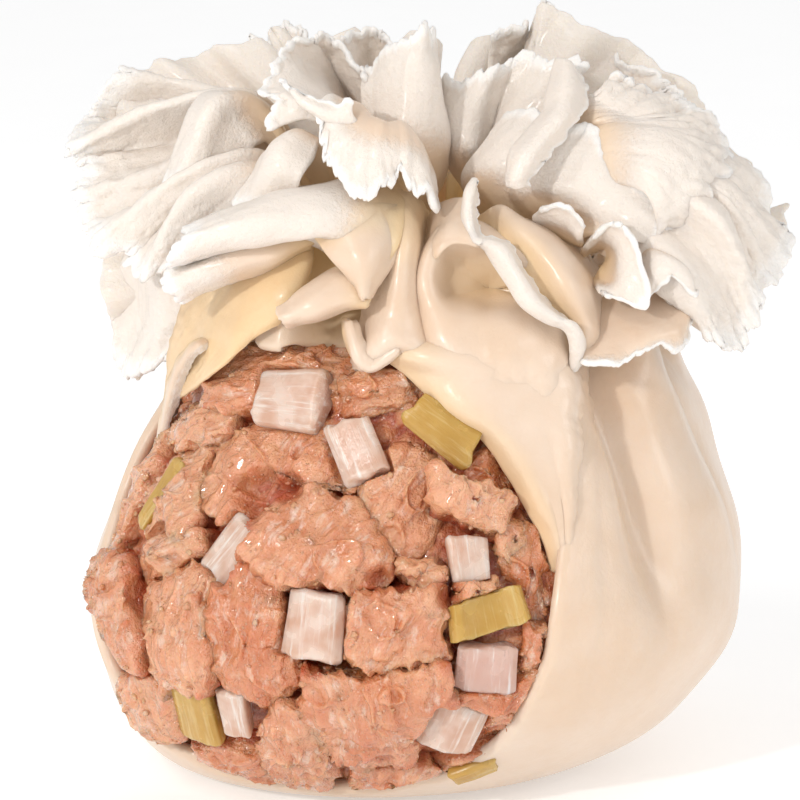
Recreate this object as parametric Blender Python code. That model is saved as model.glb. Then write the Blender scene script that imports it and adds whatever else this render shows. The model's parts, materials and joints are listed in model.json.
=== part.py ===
"""Shumai: a thin dough wrapper gathered round a mutton and scallion filling, its free edge
standing above the neck as a ruffled flower, with a window cut in the belly.

Lengths are in millimetres and are turned into metres when a mesh is made. Z is up, the origin is
the middle of the flat base, and bearings are degrees round Z from -Y, positive towards +X.
"""

import math
import random

import bmesh
import bpy
import numpy as np
from mathutils import Matrix, Vector, kdtree

MM = 0.001

# Wrapper: outer profile of the belly, from the middle of the base up to the neck. Each point is
# its radius, its height and how far the ring's middle sits towards +X: the bag slumps to one side.
BELLY = [(0, 0, -3.8), (6, 0, -3.8), (11.2, 0, -3.7), (14.9, 0.7, -2.9), (18.2, 2.9, -1.7),
         (20.5, 6.0, -0.95), (21.9, 9.5, -0.45), (22.2, 13.2, -0.1), (21.3, 17.2, 0.15),
         (19.9, 21.0, 0.5), (18.2, 24.8, 0.8), (16.5, 28.5, 0.7), (14.3, 31.6, 0.4),
         (11.6, 33.8, 0.2), (9.0, 35.4, 0.0)]
SQUAT = 0.12  # how much narrower the foot is from front to back than from side to side
BELLY_ROWS = [0, 2, 3, 4, 5, 6, 7, 8, 9, 10, 11, 12, 13, 14]
NECK_HEIGHT = BELLY[-1][1]
WALL = 1.0  # dough in the belly
NECK_WALL = 0.55  # dough pressed in the folds of the neck
EDGE_WALL = 0.75  # dough at the free edge

# The gathered edge: each turn of its deep folds, low and high by turns, as (bearing, lift, reach).
# Lift is degrees above level and reach is from the middle of the neck.
TURNS = [(-100, -25, 22.4), (-90, 26, 25.6), (-73, -4, 20.0), (-61, 48, 16.5), (-49, 4, 19.0),
         (-33, 56, 14.5), (-16, 22, 11.5), (1, 60, 12.5), (14, 0, 15.5), (41, -14, 18.0),
         (53, 48, 15.5), (66, -6, 18.5), (78, 58, 17.0), (90, -20, 24.2), (100, 2, 26.0),
         (122, 58, 18.9), (135, -4, 22.0), (147, 55, 16.2), (165, 32, 16.2), (183, 58, 16.0),
         (198, -6, 21.5), (211, 57, 16.4), (221, 12, 20.0), (232, 50, 18.6), (252, 28, 23.5)]
SAG = 0.06  # how far the free edge draws in between its turns, as a share of its reach
NECK_FOLD = 3.7  # how far the deep folds stand in and out at the neck
RISE = 6.0  # how far the high folds stand up above the neck before they flare
FLOWER_ROWS = [0.2, 0.43, 0.64, 0.83, 1.0]
JOIN_ROW = 11  # the ring, counted from the base, where the belly and the flower are welded
RIBS = 68  # shallow ribs that fan out across the deep folds
RIB_DEPTH = 0.95
UNEVEN = 0.0022  # how far the ribs crowd together and spread apart, as a share of the way round

# Tucks that run down the belly from the neck: (bearing at top, bearing at foot, foot height,
# depth, width in degrees, step). A step is the front layer that laps over the next one.
TUCKS = [(27, 31, 12, 0.4, 5.0, 0.8), (42, 52, 14, 1.3, 8.0, 0.0), (76, 80, 14, 0.5, 5.5, 0.4),
         (112, 106, 12, 0.9, 7.0, 0.4), (140, 146, 15, 0.8, 6.5, 0.0), (166, 160, 12, 1.0, 7.0, 0.5),
         (196, 200, 15, 0.7, 6.0, 0.0), (222, 228, 13, 0.9, 7.0, 0.5), (250, 246, 16, 0.7, 6.0, 0.0)]

# The window: a rounded opening seen along its bearing, cut through the belly's wall.
WINDOW_BEARING = -30.0
WINDOW_HEIGHT = 16.2
WINDOW_HALF_WIDTH = 17.9
WINDOW_HALF_HEIGHT = 15.1
WINDOW_SQUARENESS = 2.3

# Mutton pieces that face out of the window: bearing and height of the middle, width, height,
# turn in degrees and how far the face stands out from the belly's outer face.
MEAT = [(-41, 29.7, 9.2, 4.2, 4, 0.0), (-13, 28.4, 7.0, 3.6, -12, -0.5), (-58, 26.4, 7.6, 6.0, 30, -0.2),
        (-3, 24.6, 5.6, 4.8, 20, -0.4), (10, 23.8, 4.8, 5.2, -25, -0.5), (-38, 23.2, 10.6, 6.0, -6, -0.3),
        (-19, 19.8, 9.2, 6.8, -28, 0.5), (-4, 21.2, 6.6, 5.2, -20, -0.3), (7.5, 22.0, 6.0, 3.2, -14, 0.5),
        (0.6, 18.0, 4.6, 3.2, -8, -0.1), (-3.8, 14.6, 7.4, 5.4, 3, 0.5), (-46, 13.2, 8.4, 9.8, -4, 0.2),
        (-28, 13.4, 6.2, 9.8, 2, 0.4), (-68, 14.4, 8.5, 5.4, 12, 0.5), (-55, 18.6, 11.0, 4.0, 20, 0.3),
        (-4.5, 8.2, 9.8, 7.0, 6, 0.4), (9, 9.9, 5.0, 3.6, 15, -0.6), (-21, 5.0, 7.6, 4.8, -10, -0.1),
        (19.5, 16.0, 3.4, 8.0, -4, -0.4), (15.5, 8.6, 5.6, 6.0, 10, -0.3), (-66, 9.6, 8.2, 6.6, 20, 0.2),
        (-60, 4.6, 8.5, 4.4, 12, 0.0), (-46, 21.6, 7.2, 5.2, 25, 0.1), (-55, 7.4, 8.0, 4.4, 8, 0.2),
        (-66, 22.6, 6.6, 6.4, 10, 0.0), (2.0, 3.6, 8.0, 3.6, 4, -0.3), (15.0, 20.0, 4.2, 5.6, 10, -0.5)]

# Scallion pieces: name, then bearing and height of the middle, width across the fibres, length,
# turn, how far it stands out, thickness and how far round its stalk it curls in degrees.
STALKS = [("white_scallion_1", -33.5, 27.9, 4.2, 4.9, 94, 0.25, 1.9, 12),
          ("white_scallion_2", -15.5, 25.2, 3.7, 4.2, 24, 0.6, 2.4, 55),
          ("white_scallion_3", -36.0, 18.5, 3.0, 4.2, -28, 0.6, 2.0, 30),
          ("white_scallion_4", -17.5, 14.5, 4.4, 4.4, -6, 0.8, 1.8, 50),
          ("white_scallion_5", 8.1, 18.8, 2.7, 2.8, 0, 0.2, 1.8, 10),
          ("white_scallion_6", -32.0, 7.8, 2.4, 3.8, -2, 0.5, 1.6, 40),
          ("white_scallion_7", 8.0, 6.5, 4.2, 3.8, -20, 0.4, 2.0, 45),
          ("green_scallion_1", 2.5, 26.6, 3.1, 4.9, 56, 0.2, 1.4, 50),
          ("green_scallion_2", -60.0, 20.6, 1.5, 5.4, -26, 0.4, 1.3, 20),
          ("green_scallion_3", 11.5, 15.4, 4.6, 2.5, 14, 0.1, 1.2, -60),
          ("green_scallion_4", -42.0, 6.6, 3.2, 3.9, -8, 0.3, 1.3, 30),
          ("green_scallion_5", 15.6, 3.6, 1.6, 3.2, -62, 0.4, 1.2, 20),
          ("fat_1", 12.0, 11.7, 4.4, 3.0, -6, 0.1, 1.6, 40)]
GAP = 0.35  # clearance between neighbouring pieces


def bearing_direction(degrees):
    angle = math.radians(degrees)
    return Vector((math.sin(angle), -math.cos(angle), 0))


def catmull(before, start, end, after, t):
    """Point at t, 0 to 1, of the smooth curve from start to end."""
    return 0.5 * (2 * start + (end - before) * t + (2 * before - 5 * start + 4 * end - after) * t**2
                  + (3 * start - before - 3 * end + after) * t**3)


def along_profile(s):
    """Radius, height and lean of the belly's outer face at s, 0 at the base's middle and 1 at the
    neck."""
    points = np.array(BELLY, float)
    place = np.clip(s, 0, 1) * (len(points) - 1)
    index = np.minimum(place.astype(int), len(points) - 2)
    t = (place - index)[..., None]
    ends = [np.clip(index + k, 0, len(points) - 1) for k in (-1, 0, 1, 2)]
    curve = catmull(*[points[e] for e in ends], t)
    return curve[..., 0], np.maximum(curve[..., 1], 0), curve[..., 2]


def flower_tables(count=4096):
    """The free edge sampled at even steps of u, 0 to 1 round it: bearing, lift, reach, how far out
    the fold stands at the neck from -1 to 1, its bearing at the neck, where the folds are evenly
    packed, and the calmer bearing that the belly follows."""
    turns = np.array(TURNS, float)
    number = len(turns)
    place = np.arange(count * 4 + 1) / (count * 4) * number
    index = np.minimum(place.astype(int), number - 1)
    t = place - index
    ends = turns[(index + 1) % number] + np.array([360.0, 0, 0]) * ((index + 1) // number)[:, None]
    starts = turns[index]
    sideways = t + 0.85 * np.sin(2 * math.pi * t) / (2 * math.pi)
    bearing = starts[:, 0] + (ends[:, 0] - starts[:, 0]) * sideways
    upward = smooth(0, 1, t)
    lift = starts[:, 1] + (ends[:, 1] - starts[:, 1]) * upward
    reach = (starts[:, 2] + (ends[:, 2] - starts[:, 2]) * upward) * (1 - SAG * 4 * t * (1 - t))
    fold = 1 - 2 * smooth(0, 45, lift)
    angle, rise = np.radians(bearing), np.radians(lift)
    edge = reach * np.array([np.cos(rise) * np.sin(angle), -np.cos(rise) * np.cos(angle), np.sin(rise)])
    steps = np.linalg.norm(np.diff(edge, axis=1), axis=0)
    length = np.concatenate([[0], np.cumsum(steps)])
    u = np.arange(count) / count
    crowded = u + UNEVEN * (np.sin(2 * math.pi * 5 * u) + 0.6 * np.sin(2 * math.pi * 13 * u + 1))
    crowded = (crowded - crowded[0]) * length[-1]
    packed = turns[0, 0] + 360 * (index + sideways) / number
    table = [np.interp(crowded, length, value) for value in (bearing, lift, reach, fold, packed)]
    window = np.exp(-(((np.arange(count) / count + 0.5) % 1 - 0.5) / 0.055) ** 2)
    drift = table[4] - 360 * u
    calm = np.fft.irfft(np.fft.rfft(drift) * np.fft.rfft(window / window.sum()), count) + 360 * u
    return table + [calm]


def along_turns(u):
    """The columns of the flower tables at u, as (bearing, lift, reach, fold, neck bearing,
    belly bearing)."""
    count = len(TABLES[0])
    place = u * count
    index = np.floor(place).astype(int)
    t = place - index
    values = []
    for column, turn in zip(TABLES, (360, 0, 0, 0, 360, 360)):
        low = column[index % count] + turn * (index // count)
        high = column[(index + 1) % count] + turn * ((index + 1) // count)
        values.append(low + (high - low) * t)
    return values


def smooth(low, high, value):
    t = np.clip((value - low) / (high - low), 0, 1)
    return t * t * (3 - 2 * t)


def tuck_relief(bearing, height):
    """How far the tucks move the belly's wall outwards."""
    relief = np.zeros_like(bearing)
    for top, foot, foot_height, depth, width, step in TUCKS:
        fall = np.clip((NECK_HEIGHT - height) / (NECK_HEIGHT - foot_height), 0, 1)
        centre = top + (foot - top) * fall
        away = (bearing - centre + 180) % 360 - 180
        fade = (1 - smooth(0.45, 1.0, fall)) * smooth(0.0, 0.25, fall)
        valley = np.exp(-((away / width) ** 2))
        lap = smooth(-26, -4, away) * (1 - smooth(0, 0.7 * width, away))
        relief += fade * (step * lap - depth * valley)
    return relief


def belly_surface(u, s):
    """Outer face of the belly and neck."""
    radius, height, lean = along_profile(s)
    _, _, _, fold, packed, calm = along_turns(u)
    gathered = smooth(26, NECK_HEIGHT, height)
    bearing = calm + (packed - calm) * gathered
    radius = radius + NECK_FOLD * gathered**1.3 * fold
    radius = radius + np.where(radius > 12, 1.0, 0.0) * tuck_relief(bearing, height)
    lumps = np.sin(np.radians(bearing * 5 + 40) + height * 0.32) * np.sin(height * 0.41 + 1.3)
    radius = radius + 0.28 * lumps * smooth(2, 7, height) * (1 - smooth(24, 30, height))
    angle = np.radians(bearing)
    depth = radius * (1 - SQUAT * (1 - smooth(0, 11, height)))
    return np.stack([radius * np.sin(angle) + lean, -depth * np.cos(angle), height], -1)


def flower_surface(u, w):
    """The deep folds of the flower, at w, 0 at the neck and 1 at the free edge."""
    start = belly_surface(u, np.ones_like(u))
    bearing, lift, reach, _, _, _ = along_turns(u)
    angle, lift = np.radians(bearing), np.radians(lift)
    way = np.stack([np.cos(lift) * np.sin(angle), -np.cos(lift) * np.cos(angle), np.sin(lift)], -1)
    end = np.array([0, 0, NECK_HEIGHT]) + reach[..., None] * way
    standing = smooth(-10, 45, np.degrees(lift))[..., None]
    bend = start * (np.array([1.22, 1.22, 1]) - np.array([0.14, 0.14, 0]) * standing)
    bend = bend + np.array([0, 0, 1]) * (1.45 * standing - 0.45) * RISE
    w = w[..., None]
    return (1 - w) ** 2 * start + 2 * w * (1 - w) * bend + w**2 * end


def wrapper_surface(u, s):
    """The wrapper's face at s, 0 to 1 up the belly and 1 to 2 out along the flower."""
    u, s = np.broadcast_arrays(np.asarray(u, float), np.asarray(s, float))
    belly = belly_surface(u, np.minimum(s, 1))
    flower = flower_surface(u, np.clip(s - 1, 0, 1))
    return np.where((s > 1)[..., None], flower, belly)


def normals(surface, u, s, step=1e-3, climb=0.035):
    """Outward unit normals of a surface, from points a small step to each side."""
    along = surface(u + step, s) - surface(u - step, s)
    up = surface(u, np.minimum(s + climb, 2)) - surface(u, np.maximum(s - climb, 0.03))
    across = np.cross(along, up)
    return across / np.maximum(np.linalg.norm(across, axis=-1, keepdims=True), 1e-9)


def rib_depth(u, s):
    """Height of the shallow ribs, which start below the neck and deepen to the free edge."""
    phase = 2 * math.pi * RIBS * u
    size = 0.16 * smooth(0.82, 1, s) + 0.84 * smooth(1.05, 2.0, s) ** 1.3
    uneven = 0.75 + 0.25 * np.sin(2 * math.pi * 7 * u + 2)
    return RIB_DEPTH * size * uneven * np.cos(phase)


def middle_surface(u, s):
    """The sheet with its ribs, before it has a thickness."""
    u, s = np.broadcast_arrays(np.asarray(u, float), np.asarray(s, float))
    normal = normals(wrapper_surface, u, s)
    return wrapper_surface(u, s) + normal * rib_depth(u, s)[..., None]


def room_inside(point, normal):
    """How far each point of a ring can move along its normal before it crosses its neighbours."""
    limit = np.full(len(point), 1e3)
    for turn in (1, -1, 2, -2, 3, -3, 4, -4):
        step = np.roll(point, turn, axis=0) - point
        closing = -np.sum(step * (np.roll(normal, turn, axis=0) - normal), -1)
        limit = np.minimum(limit, np.sum(step**2, -1) / np.maximum(closing, 1e-6))
    limit = np.minimum(limit, np.minimum(np.roll(limit, 1), np.roll(limit, -1)) + 0.1)
    return 0.75 * limit[:, None]


def wrapper_ring(s, count):
    """Outer and inner face of the dough round one ring. The dough thins on the inner side of a
    tight fold so that its faces never cross."""
    u = np.arange(count) / count
    s = np.full(count, float(s))
    point = middle_surface(u, s)
    normal = normals(middle_surface, u, s)
    flower = smooth(0.95, 1.25, s)[:, None]
    necked = smooth(0.78, 1.0, s)[:, None] * (1 - 0.8 * smooth(1.1, 1.7, s)[:, None])
    wall = WALL + (EDGE_WALL - WALL) * flower
    wall = wall + (NECK_WALL - wall) * necked
    outward = np.minimum(wall * 0.5 * flower, room_inside(point, normal))
    inward = np.minimum(wall * (1 - 0.5 * flower), room_inside(point, -normal))
    return point + normal * outward, point - normal * inward


def make_object(name, verts, faces, material=None):
    mesh = bpy.data.meshes.new(name)
    mesh.from_pydata([tuple(float(x) * MM for x in v) for v in verts], [], faces)
    mesh.validate()
    obj = bpy.data.objects.new(name, mesh)
    bpy.context.scene.collection.objects.link(obj)
    if material:
        mesh.materials.append(material)
    return obj


def sheet_rows():
    """(s, columns) of each row of the wrapper, from the first ring round the base's middle."""
    last = len(BELLY) - 1
    rows = [(k / last, RIBS) for k in BELLY_ROWS[1:-2]]
    rows += [(k / last, 2 * RIBS) for k in BELLY_ROWS[-2:]]
    rows += [(1 + w, 2 * RIBS) for w in FLOWER_ROWS[:2]]
    rows += [(1 + w, 4 * RIBS) for w in FLOWER_ROWS[2:]]
    return rows


def strip(low, low_count, high, high_count):
    """Triangles between two rings that start at these vertices, the upper with as many points or
    twice as many."""
    faces = []
    ratio = high_count // low_count
    for k in range(low_count):
        a, b = low + k, low + (k + 1) % low_count
        fan = [high + (k * ratio + j) % high_count for j in range(ratio + 1)]
        if ratio == 1:
            faces += [(a, b, fan[1]), (a, fan[1], fan[0])]
        else:
            faces += [(a, fan[1], fan[0]), (a, b, fan[1]), (b, fan[2], fan[1])]
    return faces


def sheet_part(name, rows, based):
    """A closed piece of the wrapper between two rings, or from the base's middle if it is based."""
    rings = [wrapper_ring(s, count) for s, count in rows]
    starts = [0]
    for _, count in rows:
        starts.append(starts[-1] + count)
    total = starts[-1]
    verts, faces = [], []
    for side in (0, 1):
        base = side * total
        verts += [point for ring in rings for point in ring[side]]
        part = []
        for i in range(len(rows) - 1):
            part += strip(base + starts[i], rows[i][1], base + starts[i + 1], rows[i + 1][1])
        faces += part if side == 0 else [face[::-1] for face in part]
    for low, ring in ((True, 0), (False, len(rows) - 1)):
        start, count = starts[ring], rows[ring][1]
        for k in range(count):
            a, b = start + k, start + (k + 1) % count
            quad = [(a, b, total + b), (a, total + b, total + a)]
            if low and based:
                quad = [(2 * total, a, b), (2 * total + 1, total + b, total + a)]
            faces += [face[::-1] for face in quad] if low else quad
    if based:
        verts += [(BELLY[0][2], 0, 0), (BELLY[0][2], 0, WALL)]
    return make_object(name, verts, faces)


def build_wrapper(material):
    """The whole sheet: the belly with its window, welded to the flower at one ring."""
    rows = sheet_rows()
    join = JOIN_ROW
    belly = sheet_part("belly", rows[:join + 1], True)
    hole = window_plug(WINDOW_HALF_WIDTH, WINDOW_HALF_HEIGHT)
    apply_boolean(belly, hole, "DIFFERENCE")
    remove(hole)
    keep_largest(belly)
    flower = sheet_part("flower", rows[join:], False)
    mesh = bmesh.new()
    mesh.from_mesh(belly.data)
    mesh.from_mesh(flower.data)
    outer, inner = wrapper_ring(*rows[join])
    height = float(np.min(inner[:, 2])) - 0.5
    tree = kdtree.KDTree(2 * len(outer))
    for index, point in enumerate(list(outer) + list(inner)):
        tree.insert(Vector([float(x) for x in point]) * MM, index)
    tree.balance()
    ring = [v for v in mesh.verts if v.co.z > height * MM and tree.find(v.co)[2] < 1e-7]
    ring_set = set(ring)
    doomed = [f for f in mesh.faces if all(v in ring_set for v in f.verts)]
    bmesh.ops.delete(mesh, geom=doomed, context="FACES")
    bmesh.ops.remove_doubles(mesh, verts=ring, dist=1e-7)
    mesh.to_mesh(belly.data)
    mesh.free()
    remove(flower)
    belly.name = belly.data.name = "wrapper"
    use_material(belly, material)
    return belly


def apply_boolean(obj, other, operation, solver="EXACT"):
    """Changes obj's mesh by a Boolean with other, an object or a collection, at once."""
    modifier = obj.modifiers.new("cut", "BOOLEAN")
    modifier.operation = operation
    modifier.solver = solver
    if isinstance(other, bpy.types.Object):
        modifier.object = other
    else:
        modifier.operand_type = "COLLECTION"
        modifier.collection = other
    graph = bpy.context.evaluated_depsgraph_get()
    mesh = bpy.data.meshes.new_from_object(obj.evaluated_get(graph))
    obj.modifiers.clear()
    old, obj.data = obj.data, mesh
    mesh.name = obj.name
    bpy.data.meshes.remove(old)


def remove(obj):
    mesh = obj.data
    bpy.data.objects.remove(obj)
    bpy.data.meshes.remove(mesh)


def keep_largest(obj):
    """Keeps only the largest body that a Boolean left."""
    mesh = bmesh.new()
    mesh.from_mesh(obj.data)
    bmesh.ops.triangulate(mesh, faces=mesh.faces)
    left = set(mesh.verts)
    bodies = []
    while left:
        seed = left.pop()
        body, queue = {seed}, [seed]
        while queue:
            for edge in queue.pop().link_edges:
                for vert in edge.verts:
                    if vert in left:
                        left.discard(vert)
                        body.add(vert)
                        queue.append(vert)
        bodies.append(body)
    bodies.sort(key=len)
    scraps = [vert for body in bodies[:-1] for vert in body]
    bmesh.ops.delete(mesh, geom=scraps, context="VERTS")
    mesh.to_mesh(obj.data)
    mesh.free()


def use_material(obj, material):
    obj.data.materials.clear()
    obj.data.materials.append(material)
    for face in obj.data.polygons:
        face.material_index = 0


def window_plug(half_width, half_height, near=4, far=30, sides=48):
    """A bar with the window's outline that runs out along its bearing."""
    out = bearing_direction(WINDOW_BEARING)
    across = bearing_direction(WINDOW_BEARING + 90)
    verts = []
    for distance in (near, far):
        for k in range(sides):
            angle = 2 * math.pi * k / sides
            x = abs(math.cos(angle)) ** (2 / WINDOW_SQUARENESS) * math.copysign(1, math.cos(angle))
            z = abs(math.sin(angle)) ** (2 / WINDOW_SQUARENESS) * math.copysign(1, math.sin(angle))
            point = out * distance + across * x * half_width
            verts.append((point.x, point.y, WINDOW_HEIGHT + z * half_height))
    faces = [tuple(range(sides - 1, -1, -1)), tuple(range(sides, 2 * sides))]
    for k in range(sides):
        after = (k + 1) % sides
        faces.append((k, after, sides + after, sides + k))
    return make_object("plug", verts, faces)


def inner_body(clearance, columns):
    """What fits inside the belly with this clearance from the outer face."""
    rows = [2, 3, 4, 5, 6, 8, 10, 11, 12]
    last = len(BELLY) - 1
    u = np.arange(columns) / columns
    rings = []
    for row in rows:
        s = np.full(columns, row / last)
        point = wrapper_surface(u, s)
        rings.append(point - normals(wrapper_surface, u, s) * clearance)
    verts = [p for ring in rings for p in ring]
    verts += [(BELLY[0][2], 0, clearance), (0, 0, float(rings[-1][:, 2].mean()))]
    base, top = len(verts) - 2, len(verts) - 1
    faces = []
    for k in range(columns):
        after = (k + 1) % columns
        faces += [(base, after, k), (top, len(verts) - 2 - columns + k, len(verts) - 2 - columns + after)]
    for i in range(len(rows) - 1):
        faces += strip(i * columns, columns, (i + 1) * columns, columns)
    return make_object("inner", verts, faces)


def surface_frame(bearing, height):
    """A place on the belly's outer face as an object matrix in millimetres: X runs round the
    belly, Y up it and Z straight out."""
    s = np.linspace(0.12, 1, 400)
    radius, heights, lean = along_profile(s)
    index = int(np.argmin(np.abs(heights - height)))
    low, high = max(index - 6, 0), min(index + 6, len(s) - 1)
    slope = Vector((radius[high] - radius[low], heights[high] - heights[low])).normalized()
    round_it = bearing_direction(bearing + 90)
    ahead = bearing_direction(bearing)
    up = ahead * slope.x + Vector((0, 0, slope.y))
    out = round_it.cross(up)
    place = ahead * radius[index] + Vector((lean[index], 0, height))
    return Matrix(((round_it.x, up.x, out.x, place.x), (round_it.y, up.y, out.y, place.y),
                   (round_it.z, up.z, out.z, place.z), (0, 0, 0, 1)))


def meat_chunk(name, bearing, height, width, tall, turn, out, seed):
    """A knife-cut piece of mutton: an uneven flat face, wider behind it, buried at the back."""
    dice = random.Random(seed)
    frame = surface_frame(bearing, height) @ Matrix.Rotation(math.radians(turn), 4, "Z")
    corners = 9
    outline = []
    for k in range(corners):
        angle = 2 * math.pi * (k + dice.uniform(-0.25, 0.25)) / corners
        x, y = math.cos(angle), math.sin(angle)
        square = max(abs(x), abs(y)) ** 0.55
        size = dice.uniform(0.88, 1.1) / square
        outline.append((x * size * width / 2, y * size * tall / 2))
    tip, roll = dice.uniform(-0.07, 0.07), dice.uniform(-0.07, 0.07)
    verts = []
    for scale, level in ((0.86, out), (1.02, out - 0.7), (1.0, out - 2.4), (0.6, out - 4.6)):
        for x, y in outline:
            verts.append(frame @ Vector((x * scale, y * scale, level + tip * x + roll * y)))
    verts += [frame @ Vector((0, 0, out + 0.15)), frame @ Vector((0, 0, out - 5))]
    faces = []
    for k in range(corners):
        after = (k + 1) % corners
        faces.append((len(verts) - 2, k, after))
        faces.append((len(verts) - 1, 3 * corners + after, 3 * corners + k))
        for ring in range(3):
            low, high = (ring + 1) * corners, ring * corners
            faces += [(low + k, low + after, high + after), (low + k, high + after, high + k)]
    return make_object(name, verts, faces)


def stalk_piece(name, bearing, height, width, tall, turn, out, thick, curl, grow=0.0):
    """A cut length of scallion: part of the stalk's wall, curled round its own fibres, with its
    convex side outwards, or its hollow side if the curl is negative. A positive grow makes the
    pocket that clears it."""
    frame = surface_frame(bearing, height) @ Matrix.Rotation(math.radians(turn), 4, "Z")
    steps = 5
    width, tall, thick = width + 2 * grow, tall + 2 * grow, thick + 2 * grow
    bend = math.radians(abs(curl))
    radius = width / bend
    side = math.copysign(1, curl)
    verts = []
    for end in (-0.5, 0.5):
        for level in (out + grow, out + grow - thick):
            for k in range(steps):
                angle = bend * (k / (steps - 1) - 0.5)
                reach = radius + side * (level - out)
                x = reach * math.sin(angle)
                z = side * (reach * math.cos(angle) - radius) + out
                verts.append(frame @ Vector((x, tall * end, z)))
    faces = []
    for k in range(steps - 1):
        front, back = k, steps + k
        faces += [(front, front + 1, 2 * steps + front + 1), (front, 2 * steps + front + 1, 2 * steps + front)]
        faces += [(back + 1, back, 2 * steps + back), (back + 1, 2 * steps + back, 2 * steps + back + 1)]
        faces += [(front + 1, front, back), (front + 1, back, back + 1)]
        front, back = front + 2 * steps, back + 2 * steps
        faces += [(front, front + 1, back + 1), (front, back + 1, back)]
    for k, turned in ((0, False), (steps - 1, True)):
        quad = [k, 2 * steps + k, 3 * steps + k, steps + k]
        if turned:
            quad.reverse()
        faces += [tuple(quad[:3]), (quad[0], quad[2], quad[3])]
    return make_object(name, verts, faces)


def build_filling(material):
    """The packed mutton: what fills the belly, and the cut pieces that face out of the window."""
    bulk = inner_body(WALL + 0.1, RIBS // 2)
    bulk.name = "filling"
    chunks = bpy.data.collections.new("chunks")
    for index, chunk in enumerate(MEAT):
        piece = meat_chunk(f"chunk_{index}", *chunk, seed=index + 3)
        chunks.objects.link(piece)
    apply_boolean(bulk, chunks, "UNION")
    for piece in list(chunks.objects):
        remove(piece)
    bpy.data.collections.remove(chunks)
    room = inner_body(WALL + GAP + 0.15, RIBS)
    plug = window_plug(WINDOW_HALF_WIDTH - GAP, WINDOW_HALF_HEIGHT - GAP)
    apply_boolean(room, plug, "UNION")
    remove(plug)
    apply_boolean(bulk, room, "INTERSECT", "MANIFOLD")  # the exact solver leaves nothing here
    for piece in STALKS:
        pocket = stalk_piece("pocket", *piece[1:], grow=GAP)
        apply_boolean(bulk, pocket, "DIFFERENCE")
        remove(pocket)
    keep_largest(bulk)
    use_material(bulk, material)
    return room


def food_material(name, colour, roughness):
    material = bpy.data.materials.new(name)
    material.use_nodes = True
    shader = material.node_tree.nodes["Principled BSDF"]
    shader.inputs["Base Color"].default_value = (*colour, 1)
    shader.inputs["Roughness"].default_value = roughness
    return material


def clear_scene():
    for obj in list(bpy.data.objects):
        bpy.data.objects.remove(obj)


TABLES = flower_tables()


def main():
    clear_scene()
    dough = food_material("dough", (0.80, 0.66, 0.48), 0.45)
    meat = food_material("mutton", (0.62, 0.27, 0.15), 0.32)
    white = food_material("white_scallion", (0.76, 0.58, 0.48), 0.3)
    green = food_material("green_scallion", (0.55, 0.38, 0.10), 0.35)
    build_wrapper(dough)
    room = build_filling(meat)
    for piece in STALKS:
        stalk = stalk_piece(*piece)
        apply_boolean(stalk, room, "INTERSECT")
        keep_largest(stalk)
        use_material(stalk, green if "green" in piece[0] else white)
    remove(room)


main()
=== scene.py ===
import json
import math

import bpy
import numpy as np
from mathutils import Matrix, Vector, noise

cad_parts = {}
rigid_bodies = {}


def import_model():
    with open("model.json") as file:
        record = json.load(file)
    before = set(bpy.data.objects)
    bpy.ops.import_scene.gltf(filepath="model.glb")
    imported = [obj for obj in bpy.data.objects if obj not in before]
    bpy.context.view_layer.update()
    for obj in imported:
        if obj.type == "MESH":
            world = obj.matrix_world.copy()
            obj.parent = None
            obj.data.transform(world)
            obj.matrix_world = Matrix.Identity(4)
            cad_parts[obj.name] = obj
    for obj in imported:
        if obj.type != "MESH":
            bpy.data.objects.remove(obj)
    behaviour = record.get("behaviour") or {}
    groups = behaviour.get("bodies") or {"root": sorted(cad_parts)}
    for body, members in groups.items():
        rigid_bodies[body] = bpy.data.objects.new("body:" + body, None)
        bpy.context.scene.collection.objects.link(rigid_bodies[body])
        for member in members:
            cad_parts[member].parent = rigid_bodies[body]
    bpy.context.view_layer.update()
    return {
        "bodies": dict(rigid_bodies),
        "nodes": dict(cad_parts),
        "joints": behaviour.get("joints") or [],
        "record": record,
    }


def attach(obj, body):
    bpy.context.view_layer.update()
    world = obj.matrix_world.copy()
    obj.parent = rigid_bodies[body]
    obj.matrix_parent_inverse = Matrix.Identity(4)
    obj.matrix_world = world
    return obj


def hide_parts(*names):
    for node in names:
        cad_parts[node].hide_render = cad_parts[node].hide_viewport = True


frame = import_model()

# ---- Wrapper ------------------------------------------------------------------------------------
# One round of thin wheat dough. It is gathered by hand round the filling, so that its rim stands up
# above the neck as a ruffled flower, and steaming leaves it soft and slightly translucent. A knife
# has cut a window out of its front, where the dough shows its own thickness.
# Lengths are in millimetres until a mesh is made. Bearings are degrees round Z from -Y towards +X.

MM = 0.001
BELLY = [(0, 0, -3.8), (6, 0, -3.8), (11.2, 0, -3.7), (14.9, 0.7, -2.9), (18.2, 2.9, -1.7),
         (20.5, 6.0, -0.95), (21.9, 9.5, -0.45), (22.2, 13.2, -0.1), (21.3, 17.2, 0.15),
         (19.9, 21.0, 0.5), (18.2, 24.8, 0.8), (16.5, 28.5, 0.7), (14.3, 31.6, 0.4),
         (11.6, 33.8, 0.2), (9.0, 35.4, 0.0)]  # radius, height and lean of the outer face
SQUAT = 0.12  # how much narrower the foot is from front to back than from side to side
NECK_HEIGHT = BELLY[-1][1]
NECK_FOLD = 3.7  # how far the deep folds stand in and out at the neck
RISE = 6.0  # how far the high folds stand up above the neck before they flare
WALL, NECK_WALL, EDGE_WALL = 1.0, 0.55, 0.6  # the dough's thickness
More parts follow.
